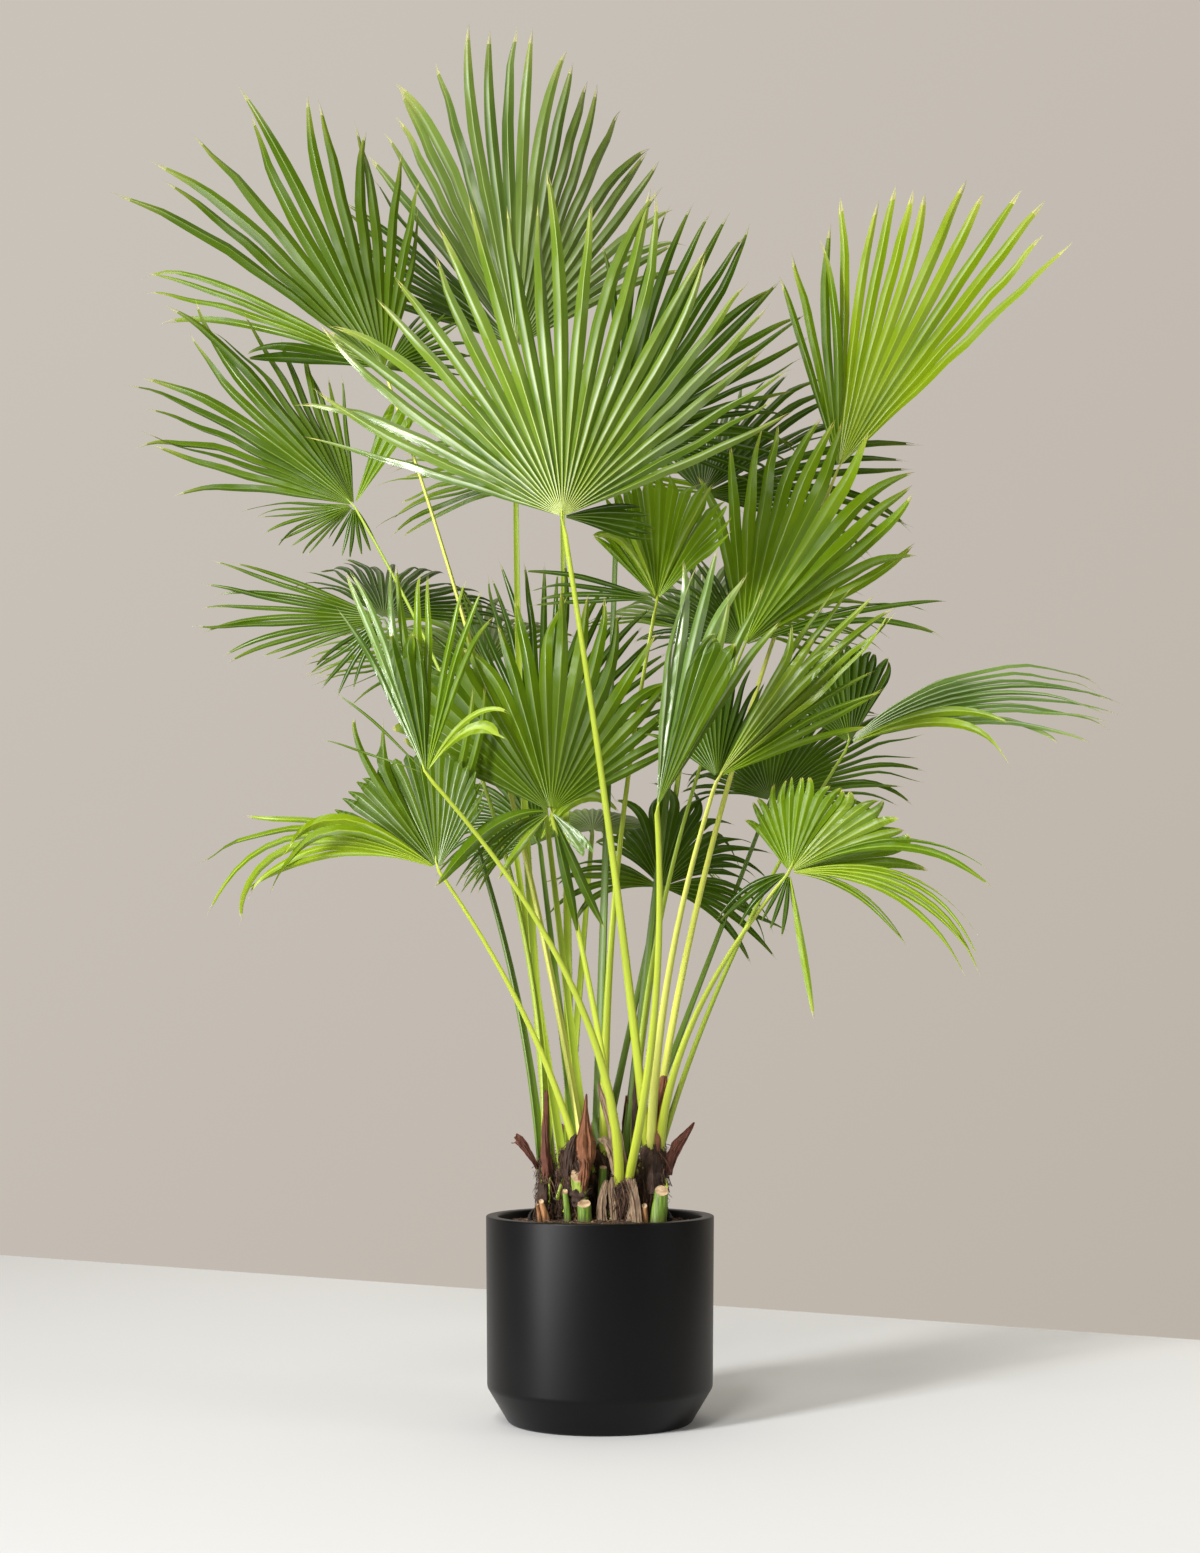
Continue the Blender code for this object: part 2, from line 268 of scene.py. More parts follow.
def place(name, mesh, slot, *nodes):
    # a finished piece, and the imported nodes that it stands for
    made = bpy.data.objects.new(name, mesh)
    bpy.context.scene.collection.objects.link(made)
    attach(made, "root")
    for node in nodes:
        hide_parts(node)


def bands(rows, sides, closed=True):
    # the faces between rows of points, each row a ring or an open strip
    faces = []
    for r in range(rows):
        for k in range(sides if closed else sides - 1):
            low, after = r * sides + k, r * sides + (k + 1) % sides
            faces.append((low, after, after + sides, low + sides))
    return faces


def source(name, data):
    # an object that only feeds a tree: it's removed before the end
    made = bpy.data.objects.new(name, data)
    bpy.context.scene.collection.objects.link(made)
    sources.append(made)
    return made


sources = []


def meshFrom(name, points, faces, materials=(), smooth=True, sharp=40):
    mesh = bpy.data.meshes.new(name)
    mesh.from_pydata([tuple(p) for p in points], [], faces)
    for material in materials:
        mesh.materials.append(material)
    if smooth:
        mesh.shade_smooth()
        mesh.set_sharp_from_angle(angle=radians(sharp))
    return mesh


def turnedOut(mesh):
    shape = bmesh.new()
    shape.from_mesh(mesh)
    bmesh.ops.remove_doubles(shape, verts=shape.verts, dist=1e-5)
    bmesh.ops.recalc_face_normals(shape, faces=shape.faces)
    shape.to_mesh(mesh)
    shape.free()
    return mesh


def joined(name, meshes):
    # several meshes as one, with the materials of all
    shape = bmesh.new()
    materials = []
    for mesh in meshes:
        first = len(shape.faces)
        shape.from_mesh(mesh)
        shape.faces.ensure_lookup_table()
        slots = []
        for material in mesh.materials:
            if material not in materials:
                materials.append(material)
            slots.append(materials.index(material))
        for face in shape.faces[first:]:
            if slots:
                face.material_index = slots[min(face.material_index, len(slots) - 1)]
    made = bpy.data.meshes.new(name)
    shape.to_mesh(made)
    shape.free()
    for material in materials:
        made.materials.append(material)
    return made


# Camera, lights and floor

studio = {
    "distance": 3.0,
    "height": 0.5085,
    "frameHeight": 2.0525,
    "shift": 0.1671,
    "wallLeft": (0.585, 0.540, 0.485),
    "wallRight": (0.490, 0.435, 0.375),
    "dim": (0.104, 0.099, 0.090),
    "floorNear": (0.425, 0.430, 0.435),
    "floorFar": (0.955, 0.965, 0.970),
    "floorEdge": ((-1.392, 2.270), (1.005, 0.797)),
    "floorReach": (9.0, 14.0),
    "nearKey": (-3.4, -2.8, 0.0),
    "nearFade": (2.0, 5.6),
    "lights": {
        # place, aim, size, power, colour
        "key": ((-3.05, -3.35, 2.00), (0.0, 0.0, 0.90), (0.7, 2.0), 264, (1.0, 0.992, 0.985)),
        "overhead": ((-0.4, 0.7, 4.4), (0.0, 0.5, 0.9), (4.6, 4.6), 64, (1.0, 0.950, 0.86)),
        "front top": ((-0.9, -2.9, 3.7), (0.0, 0.0, 1.1), (0.8, 1.3), 58, (1.0, 0.975, 0.93)),
        "low panel": ((-4.90, -3.45, 0.42), (0.0, 0.0, 0.20), (5.0, 0.84), 30, (1.0, 0.99, 1.0)),
        "low strip": ((-4.36, -2.83, 0.30), (0.0, 0.0, 0.15), (0.60, 0.54), 74, (1.0, 0.99, 1.0)),
        "right fill": ((2.9, -1.3, 1.7), (0.0, 0.0, 1.0), (1.2, 2.0), 16, (1.0, 0.98, 0.95)),
    },
}


def buildStudio():
    data = bpy.data.cameras.new("camera")
    data.sensor_width = 36.0
    data.lens = data.sensor_width * studio["distance"] / studio["frameHeight"]
    data.shift_y = studio["shift"]
    camera = bpy.data.objects.new("camera", data)
    camera.location = (0.0, -studio["distance"], studio["height"])
    camera.rotation_euler = (radians(90), 0.0, 0.0)
    bpy.context.scene.collection.objects.link(camera)
    bpy.context.scene.camera = camera
    bpy.context.scene.view_settings.view_transform = "Standard"
    buildWall()
    for name, (at, aim, size, power, colour) in studio["lights"].items():
        light(name, at, aim, size, power, colour)

    # the floor ends in a slanted line behind the planter, where the wall begins
    first, second = (Vector((*spot, 0.0)) for spot in studio["floorEdge"])
    way = (second - first).normalized()
    side, front = studio["floorReach"]
    corners = [first - way * side, second + way * side, Vector((side, -front, 0.0)),
               Vector((-side, -front, 0.0))]
    mesh = meshFrom("floor", corners, [(3, 2, 1, 0)], [floorFinish()], smooth=False)
    floor = bpy.data.objects.new("floor", mesh)
    bpy.context.scene.collection.objects.link(floor)


def buildWall():
    # the wall is the world's far side; the room on the other sides is dim
    world = bpy.data.worlds.new("studio")
    world.use_nodes = True
    tree = Tree(world.node_tree)
    way = tree.node("ShaderNodeTexCoord").other("Generated")
    across = tree.mapped(tree.part(way, "X") - tree.part(way, "Z"), -0.55, 0.55)
    wall = tree.blend(across, paint(studio["wallLeft"]), paint(studio["wallRight"]))
    behind = tree.mapped(tree.part(way, "Y"), 0.1, 0.8, interpolation_type="SMOOTHSTEP")
    colour = tree.blend(behind, paint(studio["dim"]), wall)
    background = world.node_tree.nodes["Background"]
    world.node_tree.links.new(colour.socket, background.inputs["Color"])
    bpy.context.scene.world = world


def light(name, at, aim, size, power, colour):
    data = bpy.data.lights.new(name, "AREA")
    data.shape = "RECTANGLE"
    data.size, data.size_y = size
    data.energy = power
    data.color = colour
    made = bpy.data.objects.new(name, data)
    made.location = at
    made.rotation_euler = (Vector(aim) - Vector(at)).to_track_quat("-Z", "Y").to_euler()
    bpy.context.scene.collection.objects.link(made)


def floorFinish():
    # a little darker where the key light is near, so that the floor comes out even
    def build(tree, place):
        away = tree.node("ShaderNodeVectorMath", {"operation": "DISTANCE"}, {
            0: place, 1: studio["nearKey"]})
        far = tree.mapped(away.other("Value"), *studio["nearFade"])
        return {"Base Color": tree.blend(far, paint(studio["floorNear"]), paint(studio["floorFar"]))}
    return finish("pale floor", build, roughness=0.85, Specular_IOR_Level=0.2)


# Planter

planter = {
    "topRadius": 0.1505,
    "edgeRadius": 0.149,
    "edgeHeight": 0.047,
    "footRadius": 0.121,
    "height": 0.272,
    "wall": 0.0155,
    "innerFootRadius": 0.117,
    "floorHeight": 0.022,
    "rimRound": 0.0022,
    "edgeRound": 0.004,
    "sides": 160,
}


def planterFinish():
    def build(tree, place):
        speckle = tree.noise(place, 900.0, 2.0)
        cloud = tree.noise(place, 9.0, 3.0)
        black = tree.ramp(cloud, [(0.3, (0.0012, 0.0010, 0.0013)), (0.7, (0.0020, 0.0017, 0.0021))])
        return {
            "Base Color": black,
            "Roughness": 0.35 + cloud * 0.06,
            "Bump": (0.04, speckle),
        }
    return finish("satin black planter", build, Specular_IOR_Level=0.20)


def filletArc(corner, before, after, radius, steps=6):
    # points of a rounded corner between two straight stretches of a profile
    corner, before, after = Vector(corner), Vector(before), Vector(after)
    start = corner + (before - corner).normalized() * radius
    end = corner + (after - corner).normalized() * radius
    points = []
    for k in range(steps + 1):
        share = k / steps
        points.append(start * (1 - share) ** 2 + corner * (2 * share * (1 - share)) + end * share ** 2)
    return points


def buildPlanter():
    size = planter
    innerTop = size["topRadius"] - size["wall"]
    corners = [
        ((0.0, 0.0), 0.0), ((size["footRadius"], 0.0), size["edgeRound"]),
        ((size["edgeRadius"], size["edgeHeight"]), size["edgeRound"]),
        ((size["topRadius"], size["height"]), size["rimRound"]),
        ((innerTop, size["height"]), size["rimRound"] * 1.6),
        ((size["innerFootRadius"], size["floorHeight"]), size["edgeRound"]),
        ((0.0, size["floorHeight"]), 0.0)]
    profile = []
    for k, (corner, radius) in enumerate(corners):
        if radius:
            profile += filletArc(corner, corners[k - 1][0], corners[k + 1][0], radius)
        else:
            profile.append(Vector(corner))
    sides, rows = size["sides"], len(profile) - 3
    points = [(spot.x * cos(tau * k / sides), spot.x * sin(tau * k / sides), spot.y)
              for spot in profile[1:-1] for k in range(sides)]
    faces = bands(rows, sides)
    low, high = len(points), len(points) + 1
    points += [(0, 0, profile[0].y), (0, 0, profile[-1].y)]
    last = rows * sides
    for k in range(sides):
        after = (k + 1) % sides
        faces.append((low, after, k))
        faces.append((high, last + k, last + after))
    mesh = meshFrom("planter_shell", points, faces, [planterFinish()], sharp=30)
    place("planter_shell", mesh, "planter", "planter")


# Soil and what lies on it

soil = {
    "height": 0.2600,
    "radius": 0.1335,
    "relief": 0.005,
    "mound": 0.0075,
    "moundRadiusSquared": 0.017,
    "rings": 26,
    "sides": 72,
    "crumbs": 5200,
    "chips": 420,
    "straws": 150,
}


def soilFinish():
    def build(tree, place):
        grain = tree.noise(place, 240.0, 5.0, 0.65)
        damp = tree.noise(place, 24.0, 2.0)
        crumbs = tree.ramp(grain, [(0.3, (0.018, 0.011, 0.007)), (0.7, (0.120, 0.070, 0.040))])
        return {
            "Base Color": tree.blend(damp, crumbs, paint((0.055, 0.033, 0.020))),
            "Bump": (0.9, grain),
        }
    return finish("dark potting soil", build, roughness=0.92)


def crumbFinish(name, dark, pale):
    def build(tree, place):
        grain = tree.noise(place, 130.0, 3.0)
        return {"Base Color": tree.ramp(grain, [(0.35, dark), (0.65, pale)]), "Bump": (0.5, grain)}
    return finish(name, build, roughness=0.9)


def soilHeight(x, y):
    relief = noise.fractal(Vector((x * 34, y * 34, 3.1)), 1.0, 2.0, 3)
    mound = soil["mound"] * max(0.0, 1 - (x * x + y * y) / soil["moundRadiusSquared"])
    return soil["height"] + soil["relief"] * relief * 0.7 + mound


def crumbMesh(name, size, stretch, material, seed):
    # a small uneven lump of a few faces
    shape = bmesh.new()
    bmesh.ops.create_icosphere(shape, subdivisions=1, radius=size)
    for k, vert in enumerate(shape.verts):
        vert.co *= 0.75 + 0.5 * noise.cell(Vector((seed, k, 0.5)))
        vert.co.x *= stretch[0]
        vert.co.y *= stretch[1]
        vert.co.z *= stretch[2]
    mesh = bpy.data.meshes.new(name)
    shape.to_mesh(mesh)
    shape.free()
    mesh.materials.append(material)
    return mesh


def scatterTree():
    # strews copies of a small shape over a surface
    tree = Growth("strewn bits", {"Shape": "object", "Density": float, "Lift": float, "Smallest": float,
                                  "Largest": float, "Tilt": float, "Finish": "material", "Seed": int})
    size = tree.size
    index = tree.index()
    turn = tree.vector(tree.random(-1.0, 1.0, index, 1) * size["Tilt"],
                       tree.random(-1.0, 1.0, index, 2) * size["Tilt"], tree.random(0.0, tau, index, 3))
    scale = tree.random(0.0, 1.0, index, 4) ** 1.8 * (size["Largest"] - size["Smallest"]) + size["Smallest"]
    copies = tree.copies(tree.strewn("Density"), tree.shape("Shape"), Rotation=turn, Scale=scale)
    lifted = tree.node("GeometryNodeTranslateInstances", {}, {
        "Instances": copies, "Translation": tree.vector(z=size["Lift"])})
    tree.end(tree.clad(tree.real(lifted), "Finish"))
    return tree


def buildSoil():
    points, faces = [(0, 0, soilHeight(0, 0))], []
    sides, rings = soil["sides"], soil["rings"]
    for r in range(1, rings + 1):
        for k in range(sides):
            turn = tau * (k + r % 2 / 2) / sides
            x, y = (soil["radius"] * r / rings * f(turn) for f in (cos, sin))
            points.append((x, y, soilHeight(x, y)))
    for k in range(sides):
        faces.append((0, 1 + k, 1 + (k + 1) % sides))
    for r in range(rings - 1):
        for k in range(sides):
            a, b = 1 + r * sides, 1 + (r + 1) * sides
            after = (k + 1) % sides
            faces.append((a + k, b + k, b + after, a + after))
    bed = meshFrom("soil_bed", points, faces, [soilFinish()])
    place("soil_bed", bed, "soil", "soil")
    bits = scatterTree()
    bedSource = source("bed source", bed.copy())
    area = pi * soil["radius"] ** 2
    kinds = {
        "soil_crumbs": ((1.0, 0.9, 0.7), 0.0016, soil["crumbs"], (0.4, 1.5), 0.6,
                        crumbFinish("soil crumb", (0.022, 0.013, 0.009), (0.150, 0.088, 0.050)), 5),
        "bark_chips": ((1.9, 1.0, 0.45), 0.0026, soil["chips"], (0.6, 1.6), 0.5,
                       crumbFinish("bark chip", (0.070, 0.036, 0.020), (0.290, 0.165, 0.090)), 8),
        "straw_bits": ((5.5, 0.5, 0.4), 0.0016, soil["straws"], (0.6, 1.6), 0.35,
                       crumbFinish("dry straw", (0.230, 0.150, 0.080), (0.420, 0.300, 0.170)), 11),
    }
    for name, (stretch, size, count, scales, tilt, material, seed) in kinds.items():
        shape = source(name + " shape", crumbMesh(name, size, stretch, material, seed))
        mesh = bits.grow(name, bedSource, {
            "Shape": shape, "Density": count / area, "Lift": size * 0.3, "Smallest": scales[0],
            "Largest": scales[1], "Tilt": tilt, "Finish": material, "Seed": seed})
        place(name, mesh, "soil")


# Fronds

# leaf tones dealt out fan by fan, partly as lit and shaded copies of one green: deep is a darker copy for
# fans inside and behind the clump, painted shade; leaf a darker copy for fans that the key light strikes
# hard, painted shade; lit a lighter copy for fans shaded by their neighbours, painted light
palette = {
    # deep, fresh, rib, tip, let through; roughness, specular, share of painted highlight
    "deep": ((0.010, 0.030, 0.001), (0.062, 0.118, 0.003), (0.092, 0.155, 0.008),
             (0.250, 0.270, 0.040), (0.100, 0.200, 0.003), 0.36, 0.07, 0.10),
    "leaf": ((0.018, 0.049, 0.001), (0.099, 0.169, 0.004), (0.123, 0.198, 0.009),
             (0.360, 0.370, 0.060), (0.150, 0.260, 0.004), 0.32, 0.12, 0.10),
    "mid": ((0.030, 0.076, 0.001), (0.154, 0.250, 0.005), (0.190, 0.295, 0.014),
            (0.380, 0.380, 0.060), (0.180, 0.300, 0.005), 0.30, 0.16, 0.22),
    "cool": ((0.033, 0.073, 0.009), (0.177, 0.257, 0.046), (0.264, 0.346, 0.086),
             (0.420, 0.420, 0.120), (0.180, 0.280, 0.020), 0.24, 0.44, 0.60),
    # glossy: its rib colour is the leaf's pale rib made paler still to stand for gloss streaks, partly
    # painted highlight
    "glossy": ((0.038, 0.094, 0.004), (0.205, 0.305, 0.030), (0.430, 0.510, 0.130),
               (0.420, 0.420, 0.100), (0.160, 0.280, 0.008), 0.20, 0.50, 0.90),
    # a paler, bluer copy of the leaf green that stands for gloss, painted highlight
    "sheen": ((0.044, 0.108, 0.008), (0.215, 0.330, 0.080), (0.480, 0.580, 0.330),
              (0.460, 0.460, 0.160), (0.160, 0.280, 0.030), 0.20, 0.50, 0.80),
    "bright": ((0.064, 0.132, 0.003), (0.237, 0.346, 0.015), (0.364, 0.446, 0.082),
               (0.460, 0.460, 0.100), (0.220, 0.360, 0.008), 0.22, 0.38, 0.75),
    "fresh": ((0.046, 0.103, 0.001), (0.170, 0.281, 0.005), (0.202, 0.313, 0.013),
              (0.460, 0.460, 0.070), (0.200, 0.340, 0.006), 0.32, 0.16, 0.24),
    "lit": ((0.068, 0.150, 0.002), (0.235, 0.375, 0.007), (0.260, 0.400, 0.018),
            (0.460, 0.460, 0.070), (0.220, 0.360, 0.006), 0.30, 0.18, 0.24),
    "lime": ((0.113, 0.199, 0.002), (0.282, 0.399, 0.009), (0.338, 0.451, 0.033),
             (0.560, 0.560, 0.120), (0.300, 0.440, 0.008), 0.32, 0.22, 0.50),
}

blade = {
    "foldBlend": radians(28),
    "hubRadius": 0.006,
    "ribHalf": 0.0006,
    "droopScale": 2.2,
    "archAt": 0.6,
    "sway": 0.11,
    "shorten": 0.24,
    "splitDip": 0.18,
    "pleatFade": 0.45,
    "lift": 0.06,
    "roll": 1.1,
    "swell": (62.0, 5.0, 0.0016),
    "ripple": (75.0, 2.4, 0.0014),
    "innerRows": (0.0, 0.06, 0.14, 0.24, 0.36, 0.50, 0.66, 0.83, 1.0),
    "outerRows": (1.12, 1.25, 1.38, 1.51, 1.63, 1.74, 1.83, 1.90),
    "marchSteps": 5,
    "through": 0.16,
    # colour of the painted highlight beside the ribs
    "paintedGleam": (0.64, 0.72, 0.56),
    "sharp": radians(16),
}

# what each finger keeps while it is bent
fingerMarks = ("finger", "bend", "short", "roll", "hang", "lift", "across", "rise")


def fan(lean, back, reach, spread, fold=(-8, -8), droop=0.1, sides=(0.7, 0.7), tone="mid", **looks):
    # part of a blade: where it points, its angles left and right of that, and how far its fingers reach
    made = {"lean": lean, "back": back, "reach": reach, "spread": spread, "fold": fold, "droop": droop,
            "sides": sides, "tone": tone, "step": 4.8, "split": 0.42, "pleat": 0.6, "loose": 0.8,
            "tipDroop": 0.5, "curl": 0.0, "taper": 0.88, "bendAt": 1.6, "arch": 0.0}
    made.update(looks)
    return made


def frond(stem, hub, bow, stalkTone, *fans):
    return {"stem": stem, "hub": hub, "bow": bow, "stalk": stalkTone, "fans": fans}


fronds = {
    # stem, hub as the camera sees it, sideways bow of the stalk and its tone, then the fans
    "top": frond(
        "left", (-0.110, 0.23, 1.420), -0.016, "mid",
        fan(-4, 8, 0.498, (34, 57), (-35, -30), 0.08, (0.90, 0.70), "cool", step=4.1, split=0.50,
            loose=0.5, taper=0.74),
        fan(-52, 8, 0.360, (16, 14), (-45, -30), 0.14, (0.80, 1.0), "deep", step=4.4)),
    "upper_left": frond(
        "left_middle", (-0.285, 0.06, 1.390), 0.024, "pale",
        fan(-30, 6, 0.453, (25, 46), (20, -20), 0.08, (0.97, 0.58), "leaf", step=5.4, taper=0.95),
        fan(-61, 6, 0.400, (8, 4), (20, -20), 0.14, (0.72, 1.0), "mid", step=3.2, tipDroop=1.0),
        fan(-79, -8, 0.190, (7, 7), (20, 20), 0.10, (0.9, 0.9), "deep", step=7.0, split=0.72, pleat=0.3),
        fan(52, 20, 0.150, (30, 34), (-20, -30), 0.20, (0.9, 0.8), "deep", step=5.5)),
    "big_centre": frond(
        "right", (-0.050, -0.21, 1.195), 0.006, "lime",
        fan(-2, 14, 0.500, (66, 64), (-8, -12), 0.06, (0.72, 0.66), "glossy", step=5.0, split=0.40,
            pleat=0.95),
        fan(86, 30, 0.135, (18, 12), (0, 0), 0.10, (0.9, 0.9), "deep", step=6.0, split=0.75)),
    "right_bright": frond(
        "right", (0.315, 0.12, 1.260), -0.032, "pale",
        fan(30, 5, 0.480, (29, 17), (-10, 20), 0.05, (0.80, 0.97), "lime", step=4.2, split=0.46,
            loose=0.6, taper=0.62),
        fan(-6, 5, 0.360, (12, 9), (-22, 0), 0.04, (0.72, 1.0), "fresh", step=5.2, split=0.34,
            taper=0.72)),
    "upper_right_dark": frond(
        "middle", (0.025, 0.10, 1.295), 0.0, "dark",
        fan(28, 10, 0.375, (32, 42), (10, 0), 0.10, (0.85, 0.66), "deep"),
        fan(74, 16, 0.300, (12, 24), (0, 0), 0.22, (0.9, 0.7), "deep", split=0.32, tipDroop=1.2)),
    "right_behind": frond(
        "back_right", (0.135, 0.22, 1.225), 0.0, "dark",
        fan(40, 25, 0.320, (62, 20), (-40, 40), 0.20, (0.60, 0.90), "deep"),
        fan(76, 10, 0.340, (14, 34), (-20, 20), 0.20, (1.0, 0.60), "deep", step=5.2, split=0.30,
            tipDroop=1.2)),
    "middle_left": frond(
        "left", (-0.325, 0.03, 1.210), 0.066, "mid",
        fan(-45, 0, 0.368, (38, 44), (-40, -30), 0.10, (0.86, 0.46), "leaf", step=4.7, loose=1.0),
        fan(-108, 0, 0.125, (34, 27), (-20, -20), 0.10, (0.55, 1.45), "leaf", step=6.0, split=0.30,
            tipDroop=0.8, loose=1.2),
        fan(27, -6, 0.150, (9, 10), (10, 10), 0.05, (0.95, 0.95), "fresh", step=6.3, split=0.88,
            taper=0.5, pleat=0.3),
        fan(178, 20, 0.075, (34, 36), (0, 0), 0.10, (0.9, 0.9), "deep", step=11.0, split=0.3)),
    "middle_right": frond(
        "back_right", (0.190, 0.02, 1.025), -0.033, "mid",
        fan(30, 8, 0.352, (42, 33), (-20, -30), 0.10, (0.80, 0.86), "lit", step=5.6, split=0.60,
            taper=0.8),
        fan(68, 0, 0.320, (3, 6), (-20, -20), 0.30, (0.9, 0.8), "deep", step=3.0, split=0.34,
            tipDroop=1.8),
        fan(-40, 30, 0.200, (34, 28), (0, 0), 0.30, (0.8, 0.8), "deep")),
    "small_middle": frond(
        "middle", (0.075, -0.03, 1.085), -0.018, "lime",
        fan(2, 8, 0.176, (52, 52), (25, 25), 0.12, (0.62, 0.72), "lit", step=6.2, split=0.86, pleat=0.45),
        fan(22, -8, 0.185, (4, 3), (0, 0), 0.75, (1.0, 1.0), "lime", step=7.0, split=0.40),
        fan(-22, -18, 0.150, (7, 7), (0, 0), 1.10, (1.0, 0.9), "lime", step=7.0, split=0.40),
        fan(-76, 10, 0.190, (14, 10), (0, 0), 0.12, (0.8, 1.0), "deep", step=6.0, split=0.30)),
    "arching_left": frond(
        "left", (-0.285, 0.13, 1.060), 0.037, "dark",
        fan(-86, 4, 0.272, (24, 22), (-20, 0), 0.05, (0.60, 0.95), "leaf", step=4.2, split=0.34,
            tipDroop=0.7),
        fan(12, 52, 0.280, (52, 60), (0, 0), 0.34, (0.70, 0.80), "deep", step=5.2),
        fan(-134, 6, 0.135, (20, 20), (0, 0), 0.04, (0.9, 1.0), "deep", step=7.5, split=0.30)),
    "upright_left": frond(
        "front", (-0.230, -0.28, 0.855), 0.057, "lime",
        fan(-19, 6, 0.280, (8, 7), (40, 10), 0.03, (0.90, 0.96), "sheen", step=4.2, split=0.50,
            taper=0.75),
        fan(-5, 8, 0.268, (7, 8), (0, 20), 0.04, (1.0, 0.86), "mid", step=5.0, split=0.50, loose=0.5),
        fan(-9, 2, 0.175, (9, 10), (10, 20), 0.06, (1.0, 0.80), "leaf", step=6.3, split=0.80, taper=0.6),
        fan(12, 6, 0.245, (5, 8), (0, 0), 0.42, (1.0, 0.86), "fresh", step=4.4, split=0.46, bendAt=2.4),
        fan(30, -8, 0.150, (4, 5), (0, 0), 0.75, (1.0, 0.8), "lime", step=4.5, split=0.40, bendAt=0.9),
        fan(-70, 2, 0.150, (2, 2), (0, 0), 0.00, (1.0, 1.0), "leaf", step=4.0, split=0.20),
        fan(-44, 2, 0.165, (2, 2), (0, 0), 0.02, (1.0, 1.0), "leaf", step=4.0, split=0.20)),
    "lower_left": frond(
        "left_middle", (-0.215, -0.12, 0.730), 0.018, "lime",
        fan(-6, 4, 0.152, (58, 46), (-10, 12), 0.06, (1.08, 0.62), "leaf", step=5.2, split=0.96,
            taper=0.9, pleat=0.30, loose=0.4),
        fan(-31, 4, 0.245, (7, 5), (0, 0), 0.04, (1.0, 0.9), "leaf", step=6.0, split=0.45, curl=0.12),
        fan(16, 4, 0.248, (6, 5), (0, 0), 0.04, (1.0, 1.0), "mid", step=5.5, split=0.45, curl=-0.06),
        fan(-64, -2, 0.350, (10, 6), (30, 20), 0.86, (0.80, 0.98), "lime", step=2.7, split=0.44,
            tipDroop=1.4, bendAt=1.7, loose=1.3),
        fan(-58, -12, 0.255, (5, 6), (0, 0), 1.50, (1.0, 1.0), "lime", step=5.4, split=0.66, bendAt=2.6)),
    "front_centre": frond(
        "front", (-0.065, -0.10, 0.805), 0.007, "lime",
        fan(4, 9, 0.300, (34, 58), (-10, -10), 0.08, (0.90, 0.66), "mid", step=6.0, split=0.58,
            taper=0.78, loose=1.0),
        fan(-44, 6, 0.262, (20, 16), (-10, -10), 0.08, (0.78, 1.0), "leaf", step=6.4, split=0.84,
            taper=0.5, loose=1.0, pleat=0.5),
        fan(136, -20, 0.085, (11, 11), (30, 30), 0.10, (0.9, 0.8), "sheen", step=11.0, split=0.80,
            pleat=0.3),
        fan(-84, -12, 0.190, (8, 8), (0, 0), 0.85, (1.0, 1.0), "fresh", step=16.0, split=0.55, bendAt=1.0),
        fan(-138, -20, 0.120, (6, 6), (0, 0), 0.30, (1.0, 1.0), "bright", step=12.0, split=0.50),
        fan(-112, 12, 0.160, (14, 12), (0, 0), 0.70, (1.0, 1.0), "leaf", step=9.0, split=0.30,
            tipDroop=1.5),
        fan(160, 4, 0.180, (10, 12), (0, 0), 0.20, (1.0, 1.0), "leaf", step=11.0, split=0.40,
            tipDroop=1.0)),
    "behind_centre": frond(
        "left_middle", (-0.080, 0.14, 0.875), 0.0, "mid",
        fan(0, 8, 0.300, (62, 70), (-10, -10), 0.12, (0.80, 0.74), "deep", split=0.40)),
    "narrow_front": frond(
        "front", (0.075, -0.27, 0.810), 0.017, "lime",
        fan(13, 8, 0.335, (11, 6), (50, 10), 0.02, (0.80, 0.96), "sheen", step=3.8, split=0.60, pleat=0.9,
            taper=0.75),
        fan(25, 8, 0.325, (6, 8), (0, 20), 0.03, (1.0, 0.86), "glossy", step=4.4, split=0.52),
        fan(21, -4, 0.220, (9, 9), (0, 10), 0.02, (0.94, 0.94), "leaf", step=4.5, split=0.92, pleat=0.3,
            taper=0.5)),
    "folded_right": frond(
        "right", (0.155, -0.14, 0.850), -0.017, "pale",
        fan(40, 4, 0.318, (12, 12), (40, 50), 0.04, (0.94, 0.96), "bright", step=3.8, split=0.52,
            pleat=0.9, taper=0.75),
        fan(36, -2, 0.225, (8, 8), (0, 20), 0.04, (1.0, 1.0), "bright", step=4.4, split=0.76, taper=0.6),
        fan(58, 4, 0.250, (9, 10), (0, 0), 0.10, (1.0, 0.80), "fresh"),
        fan(-2, 20, 0.180, (44, 40), (-20, -20), 0.14, (0.70, 0.80), "deep", step=5.2, split=0.60)),
    "arching_right": frond(
        "right", (0.330, 0.03, 0.895), -0.024, "mid",
        fan(-10, -6, 0.130, (58, 44), (-50, -20), 0.10, (0.80, 1.02), "deep", step=6.4, split=0.92,
            pleat=0.8, taper=0.6),
        fan(52, -4, 0.388, (15, 19), (-30, 30), 0.10, (1.0, 0.74), "sheen", step=3.4, split=0.46,
            pleat=0.9, tipDroop=0.6, arch=1.18),
        fan(66, -20, 0.240, (5, 7), (0, 0), 0.50, (1.0, 1.0), "lime", step=6.0, split=0.52)),
    "lower_right": frond(
        "right", (0.250, -0.17, 0.725), -0.033, "lime",
        fan(20, -4, 0.122, (58, 66), (-10, -12), 0.08, (0.72, 1.60), "fresh", step=6.8, split=0.80,
            taper=0.5, pleat=0.45),
